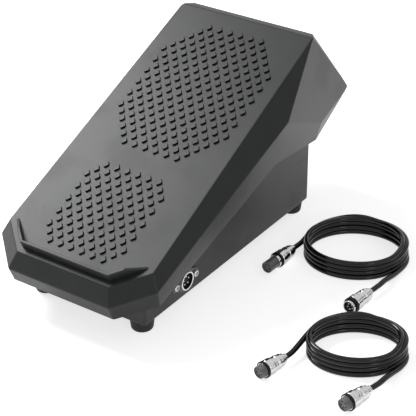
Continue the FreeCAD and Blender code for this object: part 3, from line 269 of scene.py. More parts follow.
# Studio, in metres: each softbox has its place, what it faces, its side and its radiance
SOFTBOXES = {
    "overhead softbox": ((-0.86, 0.0, 0.97), (0.0, 0.0, 0.05), 0.6, 17.0),
    "right fill": ((1.1, -0.5, 0.5), (0.05, 0.0, 0.05), 0.25, 5.0),
}
WORLD_ON_OBJECT = 0.36
WORLD_SHOWN = 1.0
FLOOR_HALF = 14.0
FLOOR_COLOUR = (0.86, 0.86, 0.86, 1)
FLOOR_SHOWN = 0.7
CARD_PLACE = (0.95, 1.1)
CARD_ACROSS = Vector((0.8, -0.6, 0)) * 0.7
CARD_COLOUR = (0.01, 0.01, 0.01, 1)
CARDS = {"low_flag": (0.01, 0.3), "high_flag": (0.78, 0.14)}


def place(x, y, z):
    """A point of the part's source, in metres in the shared frame."""
    return Vector((x / 1000, (y - MIDDLE_Y) / 1000, z / 1000))


def on_tread(x, v, w=0.0):
    """A point on the tread: x across, v up the slope from the front edge, w out of it."""
    y = v * math.cos(SLOPE) - w * math.sin(SLOPE)
    z = TOP_FRONT_Z + v * math.sin(SLOPE) + w * math.cos(SLOPE)
    return place(x, y, z)


# Camera

def add_camera():
    """Camera at the photograph's place, angle and frame."""
    sin_a, cos_a = math.sin(CAMERA_AZIMUTH), math.cos(CAMERA_AZIMUTH)
    sin_e, cos_e = math.sin(CAMERA_ELEVATION), math.cos(CAMERA_ELEVATION)
    right = Vector((cos_a, sin_a, 0))
    back = Vector((sin_a * cos_e, -cos_a * cos_e, sin_e))
    up = back.cross(right)
    data = bpy.data.cameras.new("camera")
    data.sensor_width = CAMERA_SENSOR
    data.lens = FOCAL_LENGTH / FRAME_WIDTH * CAMERA_SENSOR
    data.clip_start, data.clip_end = CAMERA_CLIP
    camera = bpy.data.objects.new("camera", data)
    camera.rotation_euler = Matrix((right, up, back)).transposed().to_euler()
    camera.location = CAMERA_PLACE
    bpy.context.collection.objects.link(camera)
    bpy.context.scene.camera = camera


# Mesh helpers

def add_object(name, mesh, material):
    """Object with the mesh, in the scene, with the material where there is one."""
    obj = bpy.data.objects.new(name, mesh)
    bpy.context.collection.objects.link(obj)
    if material is not None:
        mesh.materials.append(material)
    return obj


def smooth(mesh, angle=30):
    """Smooth shading with sharp edges over the angle, in degrees."""
    mesh.shade_smooth()
    mesh.set_sharp_from_angle(angle=math.radians(angle))


def add_bevel(obj, width, segments, angle):
    """Rounds edges over the angle, in degrees, and keeps the flats flat."""
    bevel = obj.modifiers.new("edges", "BEVEL")
    bevel.width = width / 1000
    bevel.segments = segments
    bevel.limit_method = "ANGLE"
    bevel.angle_limit = math.radians(angle)
    bevel.use_clamp_overlap = True
    normals = obj.modifiers.new("flats", "WEIGHTED_NORMAL")
    normals.keep_sharp = True
    normals.weight = 80


def from_bmesh(name, bm, material):
    """Object of the form, its faces turned outwards."""
    mesh = bpy.data.meshes.new(name)
    bmesh.ops.recalc_face_normals(bm, faces=bm.faces)
    bm.to_mesh(mesh)
    bm.free()
    return add_object(name, mesh, material)


def add_tube(bm, rings):
    """Faces between neighbouring rings of corners, closed at both ends."""
    sides = len(rings[0])
    for one, two in zip(rings, rings[1:]):
        for k in range(sides):
            m = (k + 1) % sides
            bm.faces.new((one[k], one[m], two[m], two[k]))
    bm.faces.new(rings[0])
    bm.faces.new(rings[-1])


def softened(profile, radius):
    """The same closed profile with every corner off the axis rounded."""
    rounded = []
    for i, corner in enumerate(profile):
        here = Vector(corner)
        before = Vector(profile[i - 1])
        after = Vector(profile[(i + 1) % len(profile)])
        into = (here - before).length
        out = (after - here).length
        reach = min(radius, ROUNDING_SHARE * into, ROUNDING_SHARE * out)
        if here.x < ON_AXIS or reach < LEAST_ROUNDING:
            rounded.append(tuple(here))
            continue
        start = here + (before - here) * (reach / into)
        end = here + (after - here) * (reach / out)
        for t in ROUNDING_STEPS:
            rounded.append(tuple(start * (1 - t) ** 2 + here * 2 * t * (1 - t) + end * t ** 2))
    return rounded


def across_axis(axis):
    """Two directions square to an axis and to each other."""
    side = axis.cross(Vector((0, 0, 1))).normalized()
    return side, axis.cross(side)


def add_turned(bm, profile, start, axis, radius, segments):
    """Turns a closed profile of (radius, distance along the axis) points in millimetres."""
    axis = Vector(axis).normalized()
    side, over = across_axis(axis)
    rings = []
    for r, s in softened(profile, radius):
        middle = start + axis * (s / 1000)
        if r < ON_AXIS:
            rings.append([bm.verts.new(middle)] * segments)
            continue
        ring = []
        for k in range(segments):
            a = 2 * math.pi * k / segments
            ring.append(bm.verts.new(middle + (side * math.cos(a) + over * math.sin(a)) * (r / 1000)))
        rings.append(ring)
    for i, one in enumerate(rings):
        two = rings[(i + 1) % len(rings)]
        for k in range(segments):
            m = (k + 1) % segments
            corners = []
            for vert in (one[k], one[m], two[m], two[k]):
                if vert not in corners:
                    corners.append(vert)
            if len(corners) > 2:
                bm.faces.new(corners)


def turned(name, profile, start, axis, material, radius, segments=64):
    """Turned piece of its own."""
    bm = bmesh.new()
    add_turned(bm, profile, start, axis, radius, segments)
    obj = from_bmesh(name, bm, material)
    smooth(obj.data)
    return obj


# Leads

LEAD_1_START = [
    (86.3, 184.3, 6.6), (86.6, 188.9, 6.6), (87.0, 194.6, 6.6), (86.8, 201.2, 7.2), (86.0, 208.2, 8.2),
    (86.2, 215.4, 9.4), (87.8, 221.6, 10.6), (91.4, 228.0, 12.0), (98.1, 236.0, 13.6), (107.3, 242.2, 15.4),
    (117.6, 245.2, 16.6),
]
LEAD_1_END = [
    (160.0, 237.6, 2.2), (164.2, 232.2, 2.2), (167.4, 226.0, 2.2), (169.1, 219.2, 2.2), (169.6, 212.2, 2.5),
    (169.9, 205.0, 3.2), (170.2, 197.8, 4.3), (170.1, 190.6, 5.6), (169.8, 183.6, 6.8), (169.5, 176.6, 6.5),
    (168.8, 170.1, 6.6), (168.2, 164.1, 6.6),
]
LEAD_2_START = [
    (159.2, 54.9, 6.6), (159.8, 57.8, 6.6), (160.2, 61.2, 6.8), (160.3, 65.0, 7.1), (160.1, 70.5, 7.6),
    (159.7, 77.0, 8.2), (159.3, 84.0, 8.8), (159.1, 90.6, 9.4), (159.4, 96.9, 10.0), (160.9, 102.6, 10.8),
    (164.3, 108.2, 11.9), (169.9, 114.2, 13.2), (178.2, 119.4, 15.2), (187.2, 121.8, 16.4),
]
LEAD_2_END = [
    (220.6, 118.6, 2.2), (225.1, 114.6, 2.2), (228.6, 109.6, 2.2), (230.4, 103.8, 2.3), (231.0, 97.6, 2.7),
    (231.1, 91.4, 3.5), (230.8, 85.0, 4.8), (230.7, 78.8, 6.0), (230.5, 72.6, 7.0), (229.9, 66.6, 6.5),
    (228.8, 61.1, 6.6), (227.6, 56.2, 6.6),
]

# Each lead has its start, its coil's middle, half-axes and unevenness, its end, its length and its plugs
LEADS = {
    1: (LEAD_1_START, ((128.3, 212.1), (40.1, 35.0), 0.35), LEAD_1_END, 1.155, (1, 2)),
    2: (LEAD_2_START, ((195.2, 95.4), (35.0, 27.6), 0.3), LEAD_2_END, 1.0, (3, 4)),
}


def drop_share(angle, crossing):
    """How far the cord has dropped into its next level where the strands cross over."""
    t = (CROSSING_FIRST - 360.0 * crossing - angle) / CROSSING_SPAN
    t = min(1.0, max(0.0, t))
    return t * t * (3 - 2 * t)


def coil_points(middle, halves, uneven):
    """Control points of a coil that winds down clockwise, each turn lying on the one below."""
    grow = 1 / math.cos(math.pi / POINTS_PER_TURN)
    along = Vector((math.cos(COIL_TILT), math.sin(COIL_TILT)))
    across = Vector((-math.sin(COIL_TILT), math.cos(COIL_TILT)))
    points = []
    angle = COIL_FIRST
    while angle > COIL_LAST:
        first = drop_share(angle, 0)
        later = sum(drop_share(angle, crossing) for crossing in range(1, COIL_TURNS))
        level = COIL_TURNS - 1 + FIRST_STRAND_UP * (1 - first) - later
        a = math.radians(angle)
        wander = uneven * sum(share * math.sin(a * rate + phase) for share, rate, phase in COIL_WANDER)
        shrink = FIRST_STRAND_INWARD * (1 - first) - wander
        flat = along * ((halves[0] - shrink) * math.cos(a)) + across * ((halves[1] - shrink) * math.sin(a))
        flat *= grow
        points.append((middle[0] + flat.x, middle[1] + flat.y, CORD_R + CORD_LIFT + COIL_RISE * level))
        angle -= 360.0 / POINTS_PER_TURN
    return points


def make_cord(name, points, material):
    """Round cord along one smooth spline with those control points."""
    data = bpy.data.curves.new(name, "CURVE")
    data.dimensions = "3D"
    data.bevel_depth = CORD_R / 1000
    data.bevel_resolution = 5
    data.resolution_u = 6
    spline = data.splines.new("NURBS")
    spline.points.add(len(points) - 1)
    for knot, point in zip(spline.points, points):
        knot.co = (*place(*point), 1)
    spline.order_u = 3
    spline.use_endpoint_u = True
    spline.resolution_u = 6
    return add_object(name, data, material)


def make_lead(number, finishes):
    """One cord with its coil and two tails."""
    start, coil, end, length, ends = LEADS[number]
    name = "lead_" + str(number)
    nodes = [name + "_coil", name + "_tail_left", name + "_tail_right"]
    cord = make_cord(name + "_cord", start + coil_points(*coil) + end, finishes["cord_jacket"])
    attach(cord, "base")
    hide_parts(*nodes)


# Plugs

def make_shell(name, plug, rear, axis, material):
    """Plated shell, open at the front, with the seat of its seal and a thin collar."""
    length = plug["length"]
    outside = SHELL_REAR + [(r, length - behind) for r, behind in SHELL_FRONT]
    profile = [(r * PLUG_SCALE, along) for r, along in outside]
    seal_end = length + plug["seal"]
    collar_end = length + plug["collar"]
    profile += [(SEAL_SEAT_R, length), (SEAL_SEAT_R, seal_end), (COLLAR_R, seal_end), (COLLAR_R, collar_end),
                (plug["bore"], collar_end), (plug["bore"], length - INSERT_DEPTH), (0, length - INSERT_DEPTH)]
    return turned(name + "_plated_shell", profile, rear, axis, material, 0.3)


def make_seal(name, plug, front, axis, material):
    """Black ring in front of the shell."""
    profile = [(SEAL_SEAT_R, 0), (SEAL_R, 0), (SEAL_R, plug["seal"]), (SEAL_SEAT_R, plug["seal"])]
    return turned(name + "_sealing_ring", profile, front, axis, material, 0.7)


def make_insert(name, plug, face, rim, front, axis, material):
    """Moulded insert with a thin rim round its face."""
    bore = plug["bore"]
    reach = plug["reach"]
    profile = [(0, -INSERT_DEPTH), (bore - INSERT_PLAY, -INSERT_DEPTH), (bore - INSERT_PLAY, reach),
               (bore - rim, reach), (bore - rim, face), (0, face)]
    return turned(name + "_moulded_insert", profile, front, axis, material, 0.2)


def make_contacts(name, front, axis, profile, material):
    """Small turned forms on a ring round the axis of a plug."""
    bm = bmesh.new()
    side, over = across_axis(axis)
    for k in range(CONTACTS):
        a = math.radians(90 + 360 / CONTACTS * k)
        middle = front + (side * math.cos(a) + over * math.sin(a)) * (CONTACT_RING_R / 1000)
        add_turned(bm, profile, middle, axis, 0.05, 16)
    obj = from_bmesh(name, bm, material)
    smooth(obj.data)
    return obj


def make_plug(number, finishes):
    """Shell, sealing ring, insert and contacts of one plug; on a female plug each contact hole is a thin
    black disc of painted shade.
    """
    plug = PLUGS[number]
    name = "plug_" + str(number)
    a = math.radians(plug["turn"])
    axis = Vector((-math.sin(a), -math.cos(a), 0))
    rear = place(*plug["rear"], PLUG_Z)
    front = rear + axis * (plug["length"] / 1000)
    shell = make_shell(name, plug, rear, axis, finishes["nickel"])
    seal = make_seal(name, plug, front, axis, finishes["seal_rubber"])
    pieces = [(shell, "_shell", "nickel"), (seal, "_seal", "rubber")]
    if number in MALE_PLUGS:
        insert = make_insert(name, plug, MALE_FACE, MALE_RIM, front, axis, finishes["pin_insert_plastic"])
        pins = make_contacts(name + "_pins", front, axis, MALE_PIN, finishes["ground_steel"])
        pieces += [(insert, "_insert", "pin_insert_plastic"), (pins, "_contacts", "ground_steel")]
    else:
        face = plug["reach"] - FEMALE_RECESS
        insert = make_insert(name, plug, face, FEMALE_RIM, front, axis, finishes["plug_face_plastic"])
        # No contact hole is cut: a thin matt black disc on the insert's face is painted shade where each hole
        # is
        hole = [(0, face - HOLE_SHADE_BELOW), (HOLE_SHADE_R, face - HOLE_SHADE_BELOW), (HOLE_SHADE_R, face + HOLE_SHADE_ABOVE),
                (0, face + HOLE_SHADE_ABOVE)]
        hole_shade_discs = make_contacts(name + "_contact_holes", front, axis, hole, finishes["rubber"])
        pieces += [(insert, "_insert", "insert_plastic"), (hole_shade_discs, "_insert", "rubber")]
    for piece, node, slot in pieces:
        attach(piece, "base")
        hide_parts(name + node)
    return [piece for piece, _, _ in pieces]


# Node helpers

def new_group(name, inputs, outputs):
    """Shader group with number inputs and the outputs named, and its two end nodes."""
    tree = bpy.data.node_groups.new(name, "ShaderNodeTree")
    for label, value in inputs:
        item = tree.interface.new_socket(name=label, in_out="INPUT", socket_type="NodeSocketFloat")
        item.default_value = value
    for label, kind in outputs:
        tree.interface.new_socket(name=label, in_out="OUTPUT", socket_type=kind)
    return tree, tree.nodes.new("NodeGroupInput"), tree.nodes.new("NodeGroupOutput")


def use_group(tree, group, values):
    """Outputs of a shared group with those inputs set."""
    node = tree.nodes.new("ShaderNodeGroup")
    node.node_tree = group
    for label, value in values.items():
        node.inputs[label].default_value = value
    return node.outputs


def add_noise(tree, vector, scale, detail, roughness=0.5):
    """Noise over the vector at a linked scale."""
    noise = tree.nodes.new("ShaderNodeTexNoise")
    noise.inputs["Detail"].default_value = detail
    noise.inputs["Roughness"].default_value = roughness
    tree.links.new(vector, noise.inputs["Vector"])
    tree.links.new(scale, noise.inputs["Scale"])
    return noise.outputs["Fac"]


def add_stretch(tree, vector, scale, turn=0.0):
    """The vector, stretched and turned about Z."""
    mapping = tree.nodes.new("ShaderNodeMapping")
    mapping.inputs["Scale"].default_value = scale
    mapping.inputs["Rotation"].default_value = (0.0, 0.0, turn)
    tree.links.new(vector, mapping.inputs["Vector"])
    return mapping.outputs["Vector"]


def add_bump(tree, height, strength, distance):
    """Bumped normal from a height, with its depth in metres."""
    bump = tree.nodes.new("ShaderNodeBump")
    bump.inputs["Distance"].default_value = distance
    tree.links.new(strength, bump.inputs["Strength"])
    tree.links.new(height, bump.inputs["Height"])
    return bump.outputs["Normal"]


def add_range(tree, value, source=(0.0, 1.0), target=(0.0, 1.0)):
    """The value carried from one range to another and held at its ends."""
    reach = tree.nodes.new("ShaderNodeMapRange")
    for label, number in zip(("From Min", "From Max", "To Min", "To Max"), (*source, *target)):
        reach.inputs[label].default_value = number
    tree.links.new(value, reach.inputs["Value"])
    return reach.outputs["Result"]


def add_math(tree, operation, first, second):
    """Two values joined by one operation; the second is a link or a number."""
    node = tree.nodes.new("ShaderNodeMath")
    node.operation = operation
    tree.links.new(first, node.inputs[0])
    if isinstance(second, float):
        node.inputs[1].default_value = second
    else:
        tree.links.new(second, node.inputs[1])
    return node.outputs["Value"]


# Shared surface effects

def build_moulded_grain():
    """Fine moulded grain with a slow mottle, for plastic and rubber."""
    tree, entry, result = new_group(
        "moulded grain",
        [("Grain Scale", 2500.0), ("Grain Depth", 0.3), ("Mottle Scale", 30.0)],
        [("Normal", "NodeSocketVector"), ("Mottle", "NodeSocketFloat")])
    coords = tree.nodes.new("ShaderNodeTexCoord").outputs["Object"]
    fine = add_noise(tree, coords, entry.outputs["Grain Scale"], 3.0)
    slow = add_noise(tree, coords, entry.outputs["Mottle Scale"], 4.0, 0.6)
    normal = add_bump(tree, fine, entry.outputs["Grain Depth"], GRAIN_RELIEF)
    tree.links.new(normal, result.inputs["Normal"])
    tree.links.new(slow, result.inputs["Mottle"])
    return tree


def build_handling_marks():
    """Soft smudges and thin scuffs from handling, as one mask."""
    tree, entry, result = new_group(
        "handling marks",
        [("Smudge Scale", 22.0), ("Scuff Scale", 160.0)],
        [("Mask", "NodeSocketFloat")])
    coords = tree.nodes.new("ShaderNodeTexCoord").outputs["Object"]
    smudge = add_noise(tree, coords, entry.outputs["Smudge Scale"], 5.0)
    drawn = add_stretch(tree, coords, (1.0, 0.12, 1.0), 0.5)
    scuff = add_noise(tree, drawn, entry.outputs["Scuff Scale"], 2.0)
    narrow = add_range(tree, scuff, SCUFF_RANGE)
    wide = add_range(tree, smudge, SMUDGE_RANGE)
    tree.links.new(add_math(tree, "MAXIMUM", narrow, wide), result.inputs["Mask"])
    return tree


def build_metal_lines():
    """Fine turning or rolling lines in metal, with slow dull patches."""
    tree, entry, result = new_group(
        "metal lines",
        [("Line Scale", 900.0), ("Line Depth", 0.15), ("Patch Scale", 60.0)],
        [("Normal", "NodeSocketVector"), ("Patch", "NodeSocketFloat")])
    coords = tree.nodes.new("ShaderNodeTexCoord").outputs["Object"]
    drawn = add_stretch(tree, coords, (0.15, 1.0, 0.15))
    lines = add_noise(tree, drawn, entry.outputs["Line Scale"], 2.0)
    patch = add_noise(tree, coords, entry.outputs["Patch Scale"], 4.0)
    normal = add_bump(tree, lines, entry.outputs["Line Depth"], LINE_RELIEF)
    tree.links.new(normal, result.inputs["Normal"])
    tree.links.new(patch, result.inputs["Patch"])
    return tree


# Finishes

def new_finish(name):
    """Material, its node tree and its shader."""
    material = bpy.data.materials.new(name)
    material.use_nodes = True
    return material, material.node_tree, material.node_tree.nodes["Principled BSDF"]


def use_grain(tree, groups, grain):
    """Outputs of the shared grain at its scale and depth."""
    return use_group(tree, groups["grain"], {"Grain Scale": grain[0], "Grain Depth": grain[1]})


def colour_between(tree, mask, dark, light, target):
    """Colour that follows a mask from a dark to a light tone."""
    ramp = tree.nodes.new("ShaderNodeValToRGB")
    for element, position, tone in zip(ramp.color_ramp.elements, MASK_RANGE, (dark, light)):
        element.position = position
        element.color = (*tone, 1)
    tree.links.new(mask, ramp.inputs["Fac"])
    tree.links.new(ramp.outputs["Color"], target)


def moulded(groups, label, dark, light, rough, grain, specular, handled):
    """Moulded plastic or rubber: mottled colour, grained surface, roughness that varies a little."""
    material, tree, shader = new_finish(label)
    grained = use_grain(tree, groups, grain)
    colour_between(tree, grained["Mottle"], dark, light, shader.inputs["Base Color"])
    mask = use_group(tree, groups["marks"], {})["Mask"] if handled else grained["Mottle"]
    tree.links.new(add_range(tree, mask, MASK_RANGE, rough), shader.inputs["Roughness"])
    tree.links.new(grained["Normal"], shader.inputs["Normal"])
    shader.inputs["Specular IOR Level"].default_value = specular
    return material


def metal(groups, label, dark, light, rough, lines):
    """Metal with fine lines and slow dull patches."""
    material, tree, shader = new_finish(label)
    lined = use_group(tree, groups["lines"], {"Line Scale": lines[0], "Line Depth": lines[1]})
    colour_between(tree, lined["Patch"], dark, light, shader.inputs["Base Color"])
    tree.links.new(add_range(tree, lined["Patch"], MASK_RANGE, rough), shader.inputs["Roughness"])
    tree.links.new(lined["Normal"], shader.inputs["Normal"])
    shader.inputs["Metallic"].default_value = 1.0
    return material


def stud_finish(groups):
    """The treadle's plastic on faces along the tread, and matt near-black painted shade on the studs' sides.
    """
    material, tree, shader = new_finish("grip studs")
    grained = use_grain(tree, groups, COVER_GRAIN)
    lean = tree.nodes.new("ShaderNodeVectorMath")
    lean.operation = "DOT_PRODUCT"
    lean.inputs[1].default_value = (0, -math.sin(SLOPE), math.cos(SLOPE))
    tree.links.new(tree.nodes.new("ShaderNodeNewGeometry").outputs["True Normal"], lean.inputs[0])
    level = add_range(tree, lean.outputs["Value"], TOP_FACE_RANGE)
    # Faces that lean away from the tread get the near-black painted shade and lose their gloss
    painted_side_shade = tree.nodes.new("ShaderNodeMix")
    painted_side_shade.data_type = "RGBA"
    painted_side_shade.inputs["A"].default_value = STUD_SIDE_PAINTED_SHADE
    tree.links.new(level, painted_side_shade.inputs["Factor"])
    colour_between(tree, grained["Mottle"], COVER_DARK, COVER_LIGHT, painted_side_shade.inputs["B"])
    rough = add_range(tree, level, target=(STUD_SIDE_ROUGH, COVER_ROUGH[0]))
    shine = add_math(tree, "MULTIPLY", level, COVER_SPECULAR)
    tree.links.new(painted_side_shade.outputs["Result"], shader.inputs["Base Color"])
    tree.links.new(rough, shader.inputs["Roughness"])
    tree.links.new(shine, shader.inputs["Specular IOR Level"])
    tree.links.new(grained["Normal"], shader.inputs["Normal"])
    return material


def build_finishes():
    """Every finish by its name."""
    groups = {"grain": build_moulded_grain(), "marks": build_handling_marks(), "lines": build_metal_lines()}
    finishes = {name: moulded(groups, *values) for name, values in MOULDED.items()}
    finishes.update({name: metal(groups, *values) for name, values in METALS.items()})
    finishes["stud_plastic"] = stud_finish(groups)
    return finishes


# Treadle

def add_shell_faces(bm):
    """Outer faces of the cover, mirrored about the middle, with the bottom left open."""
    corner = {}
    for name, (x, y, z) in COVER_CORNERS.items():
        corner[name, 1] = bm.verts.new(place(x, y, z))
        corner[name, -1] = bm.verts.new(place(-x, y, z))
    for names in MIDDLE_FACES:
        right = [corner[n, 1] for n in names]
        left = [corner[n, -1] for n in reversed(names)]
        bm.faces.new(right + left)
    for names in SIDE_FACES:
        for side in (1, -1):
            loop = [corner[n, side] for n in names]
            for i in range(1, len(loop) - 1):
                bm.faces.new((loop[0], loop[i], loop[i + 1]))


def lip_columns():
    """Outer and inner places on the tread and the height of each corner of the lip, from left to right."""
    front_x, front_y, _ = COVER_CORNERS["front"]
    side_x, side_y, _ = COVER_CORNERS["side"]
    run = Vector((side_x - front_x, (side_y - front_y) / math.cos(SLOPE))).normalized()
    half_turn = math.atan2(run.y, run.x) / 2
    half = front_x - LIP_INSET * math.tan(half_turn)
    across = Vector((-run.y, run.x)) * LIP_WALL
    corner = Vector((half, LIP_INSET))
    outer = [corner, corner + run * LIP_FULL, corner + run * LIP_ARM]
    inner = [Vector((half - LIP_WALL * math.tan(half_turn), LIP_INSET + LIP_WALL)), outer[1] + across,
             outer[2] + across]
    heights = [LIP_HEIGHT, LIP_HEIGHT, LIP_END_HEIGHT]
    columns = []
    for i in (2, 1, 0):
        columns.append((-outer[i].x, outer[i].y, -inner[i].x, inner[i].y, heights[i]))
    for i in (0, 1, 2):
        columns.append((outer[i].x, outer[i].y, inner[i].x, inner[i].y, heights[i]))
    return columns


def make_cover(finishes):
    """Hollow cover of the treadle with softened edges."""
    bm = bmesh.new()
    add_shell_faces(bm)
    cover = from_bmesh("treadle_shell", bm, finishes["cover_plastic"])
    cover.data.shade_smooth()
    wall = cover.modifiers.new("wall", "SOLIDIFY")
    wall.thickness = COVER_WALL / 1000
    wall.offset = -1.0
    wall.use_even_offset = True
    add_bevel(cover, COVER_EDGE, 3, 9)
    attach(cover, "treadle")
    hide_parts("treadle_cover")


def make_lip(finishes):
    """Low wall round the heel: a front bar and two arms that ramp down along the cut corners."""
    bm = bmesh.new()
    rings = []
    for outer_x, outer_v, inner_x, inner_v, height in lip_columns():
        rings.append([bm.verts.new(on_tread(outer_x, outer_v, -LIP_SINK)),
                      bm.verts.new(on_tread(outer_x, outer_v, height)),
                      bm.verts.new(on_tread(inner_x, inner_v, height)),
                      bm.verts.new(on_tread(inner_x, inner_v, -LIP_SINK))])
    add_tube(bm, rings)
    lip = from_bmesh("heel_lip", bm, finishes["cover_plastic"])
    lip.data.shade_smooth()
    add_bevel(lip, LIP_EDGE, 3, 20)
    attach(lip, "treadle")
    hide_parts("treadle_cover")


def stud_places():
    """Places of the studs on the tread, in two staggered fields with cut corners."""
    places = []
    for first_v, columns, (low, high), cut in STUD_FIELDS:
        for i in range(columns + 1):
            trim = max(0, cut - min(i, columns - i))
            for j in range(low + trim, high - trim + 1):
                if (i + j) % 2 == 0:
                    places.append(((i - columns / 2) * STUD_PITCH_X, first_v + j * STUD_PITCH_V))
    return places


def stud_form():
    """One rhombic stud with blunted corners and a slightly rounded flat top, its foot sunk in the tread."""
    long_half = STUD_SIDE * STUD_PITCH_V / math.hypot(STUD_PITCH_X, STUD_PITCH_V)
    wide_half = STUD_SIDE * STUD_PITCH_X / math.hypot(STUD_PITCH_X, STUD_PITCH_V)
    rhombus = [Vector(p) for p in ((wide_half, 0), (0, long_half), (-wide_half, 0), (0, -long_half))]
    outline = []
    for k, here in enumerate(rhombus):
        for beside in (rhombus[k - 1], rhombus[(k + 1) % 4]):
            outline.append(here + (beside - here) * STUD_BLUNT)
    levels = [(1.0, -STUD_SINK)] + [(share, STUD_HEIGHT - below) for share, below in STUD_TAPER]
    bm = bmesh.new()
    rings = []
    for share, height in levels:
        rings.append([bm.verts.new((p.x * share / 1000, p.y * share / 1000, height / 1000)) for p in outline])
    add_tube(bm, rings)
    bmesh.ops.recalc_face_normals(bm, faces=bm.faces)
    mesh = bpy.data.meshes.new("stud form")
    bm.to_mesh(mesh)
    bm.free()
    return bpy.data.objects.new("stud form", mesh)


def build_stud_tree():
    """Sets the stud on every point, leaned back with the tread."""
    tree = bpy.data.node_groups.new("studs on tread", "GeometryNodeTree")
    face = tree.interface
    face.new_socket(name="Points", in_out="INPUT", socket_type="NodeSocketGeometry")
    face.new_socket(name="Stud", in_out="INPUT", socket_type="NodeSocketObject")
    face.new_socket(name="Lean", in_out="INPUT", socket_type="NodeSocketFloat")
    face.new_socket(name="Finish", in_out="INPUT", socket_type="NodeSocketMaterial")
    face.new_socket(name="Studs", in_out="OUTPUT", socket_type="NodeSocketGeometry")
    nodes = tree.nodes
    links = tree.links
    entry = nodes.new("NodeGroupInput")
    result = nodes.new("NodeGroupOutput")
    form = nodes.new("GeometryNodeObjectInfo")
    lean = nodes.new("ShaderNodeCombineXYZ")
    spread = nodes.new("GeometryNodeInstanceOnPoints")
    real = nodes.new("GeometryNodeRealizeInstances")
    paint = nodes.new("GeometryNodeSetMaterial")
    links.new(entry.outputs["Stud"], form.inputs["Object"])
    links.new(entry.outputs["Lean"], lean.inputs["X"])
    links.new(entry.outputs["Points"], spread.inputs["Points"])
    links.new(form.outputs["Geometry"], spread.inputs["Instance"])
    links.new(lean.outputs["Vector"], spread.inputs["Rotation"])
    links.new(spread.outputs["Instances"], real.inputs["Geometry"])
    links.new(real.outputs["Geometry"], paint.inputs["Geometry"])
    links.new(entry.outputs["Finish"], paint.inputs["Material"])
    links.new(paint.outputs["Geometry"], result.inputs["Studs"])
    return tree


def make_plain(obj, name):
    """Turns the evaluated object into a plain mesh, its modifier gone."""
    graph = bpy.context.evaluated_depsgraph_get()
    mesh = bpy.data.meshes.new_from_object(obj.evaluated_get(graph))
    obj.modifiers.clear()
    obj.data = mesh
    mesh.name = name


def make_studs(finishes):
    """Both fields of grip studs as one piece."""
    points = bpy.data.meshes.new("stud places")
    points.from_pydata([on_tread(x, v) for x, v in stud_places()], [], [])
    studs = add_object("tread_grip_studs", points, None)
    form = stud_form()
    tree = build_stud_tree()
    repeat = studs.modifiers.new("studs", "NODES")
    repeat.node_group = tree
    sockets = {item.name: item.identifier for item in tree.interface.items_tree if item.in_out == "INPUT"}
    repeat[sockets["Stud"]] = form
    repeat[sockets["Lean"]] = SLOPE
    repeat[sockets["Finish"]] = finishes["stud_plastic"]
    make_plain(studs, "tread_grip_studs")
    bpy.data.objects.remove(form)
    smooth(studs.data, 25)
    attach(studs, "treadle")
    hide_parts("tread_studs")


# Springs

def spring_line(x):
    """Points along the wire of a spring with closed end turns."""
    length = SPRING_TOP_Z - SPRING_LOW_Z - 2 * SPRING_WIRE_R - SPRING_PLAY
    turns = SPRING_TURNS + 2
    points = []
    for i in range(SPRING_STEPS * turns + 1):
        turn = i / SPRING_STEPS
        share = min(1.0, max(0.0, (turn - SPRING_CLOSED) / (turns - 2 * SPRING_CLOSED)))
        a = 2 * math.pi * turn
        z = SPRING_LOW_Z + SPRING_PLAY + SPRING_WIRE_R + share * length
        points.append(place(x + SPRING_R * math.cos(a), SPRING_Y + SPRING_R * math.sin(a), z))
    return points


def make_spring(side, x, finishes):
    """Coil spring with closed end turns."""
    points = spring_line(x)
    bm = bmesh.new()
    rings = []
    for i, p in enumerate(points):
        before = points[max(0, i - 1)]
        after = points[min(len(points) - 1, i + 1)]
        along = (after - before).normalized()
        out = (p - place(x, SPRING_Y, p.z * 1000)).normalized()
        out = (out - along * out.dot(along)).normalized()
        over = along.cross(out)
        ring = []
        for k in range(SPRING_SIDES):
            a = 2 * math.pi * k / SPRING_SIDES
            ring.append(bm.verts.new(p + (out * math.cos(a) + over * math.sin(a)) * (SPRING_WIRE_R / 1000)))
        rings.append(ring)
    add_tube(bm, rings)
    spring = from_bmesh("wound_spring_" + side, bm, finishes["spring_steel"])
    smooth(spring.data, 50)
    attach(spring, "base")
    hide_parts("return_spring_" + side)
    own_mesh(spring)


# Panel socket

def make_barrel(finishes):
    """Plated barrel with a wider mouth."""
    profile = [(BARREL_BORE_R, BARREL_BACK), (BARREL_R, BARREL_BACK), (BARREL_R, BARREL_FRONT),
               (MOUTH_R, BARREL_FRONT), (MOUTH_R, MOUTH_BACK), (BARREL_BORE_R, MOUTH_BACK)]
    barrel = turned("socket_barrel", profile, place(WALL_X, SOCKET_Y, SOCKET_Z), (1, 0, 0),
                    finishes["ring_plating"], 0.3)
    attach(barrel, "base")
    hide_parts("socket_shell")


def flange_outline():
    """Closed outline of the flange: two round ends joined by tangents to a round waist."""
    lean = math.asin((FLANGE_WAIST_R - FLANGE_END_R) / FLANGE_REACH)
    first = math.pi / 2 - lean
    outline = []
    for sign in (1, -1):
        for i in range(FLANGE_END_STEPS + 1):
            a = first - 2 * first * i / FLANGE_END_STEPS
            across = FLANGE_REACH + FLANGE_END_R * math.cos(a)
            outline.append((sign * across, sign * FLANGE_END_R * math.sin(a)))
        for i in range(FLANGE_WAIST_STEPS + 1):
            a = -first - 2 * lean * i / FLANGE_WAIST_STEPS
            outline.append((sign * FLANGE_WAIST_R * math.cos(a), sign * FLANGE_WAIST_R * math.sin(a)))
    return outline


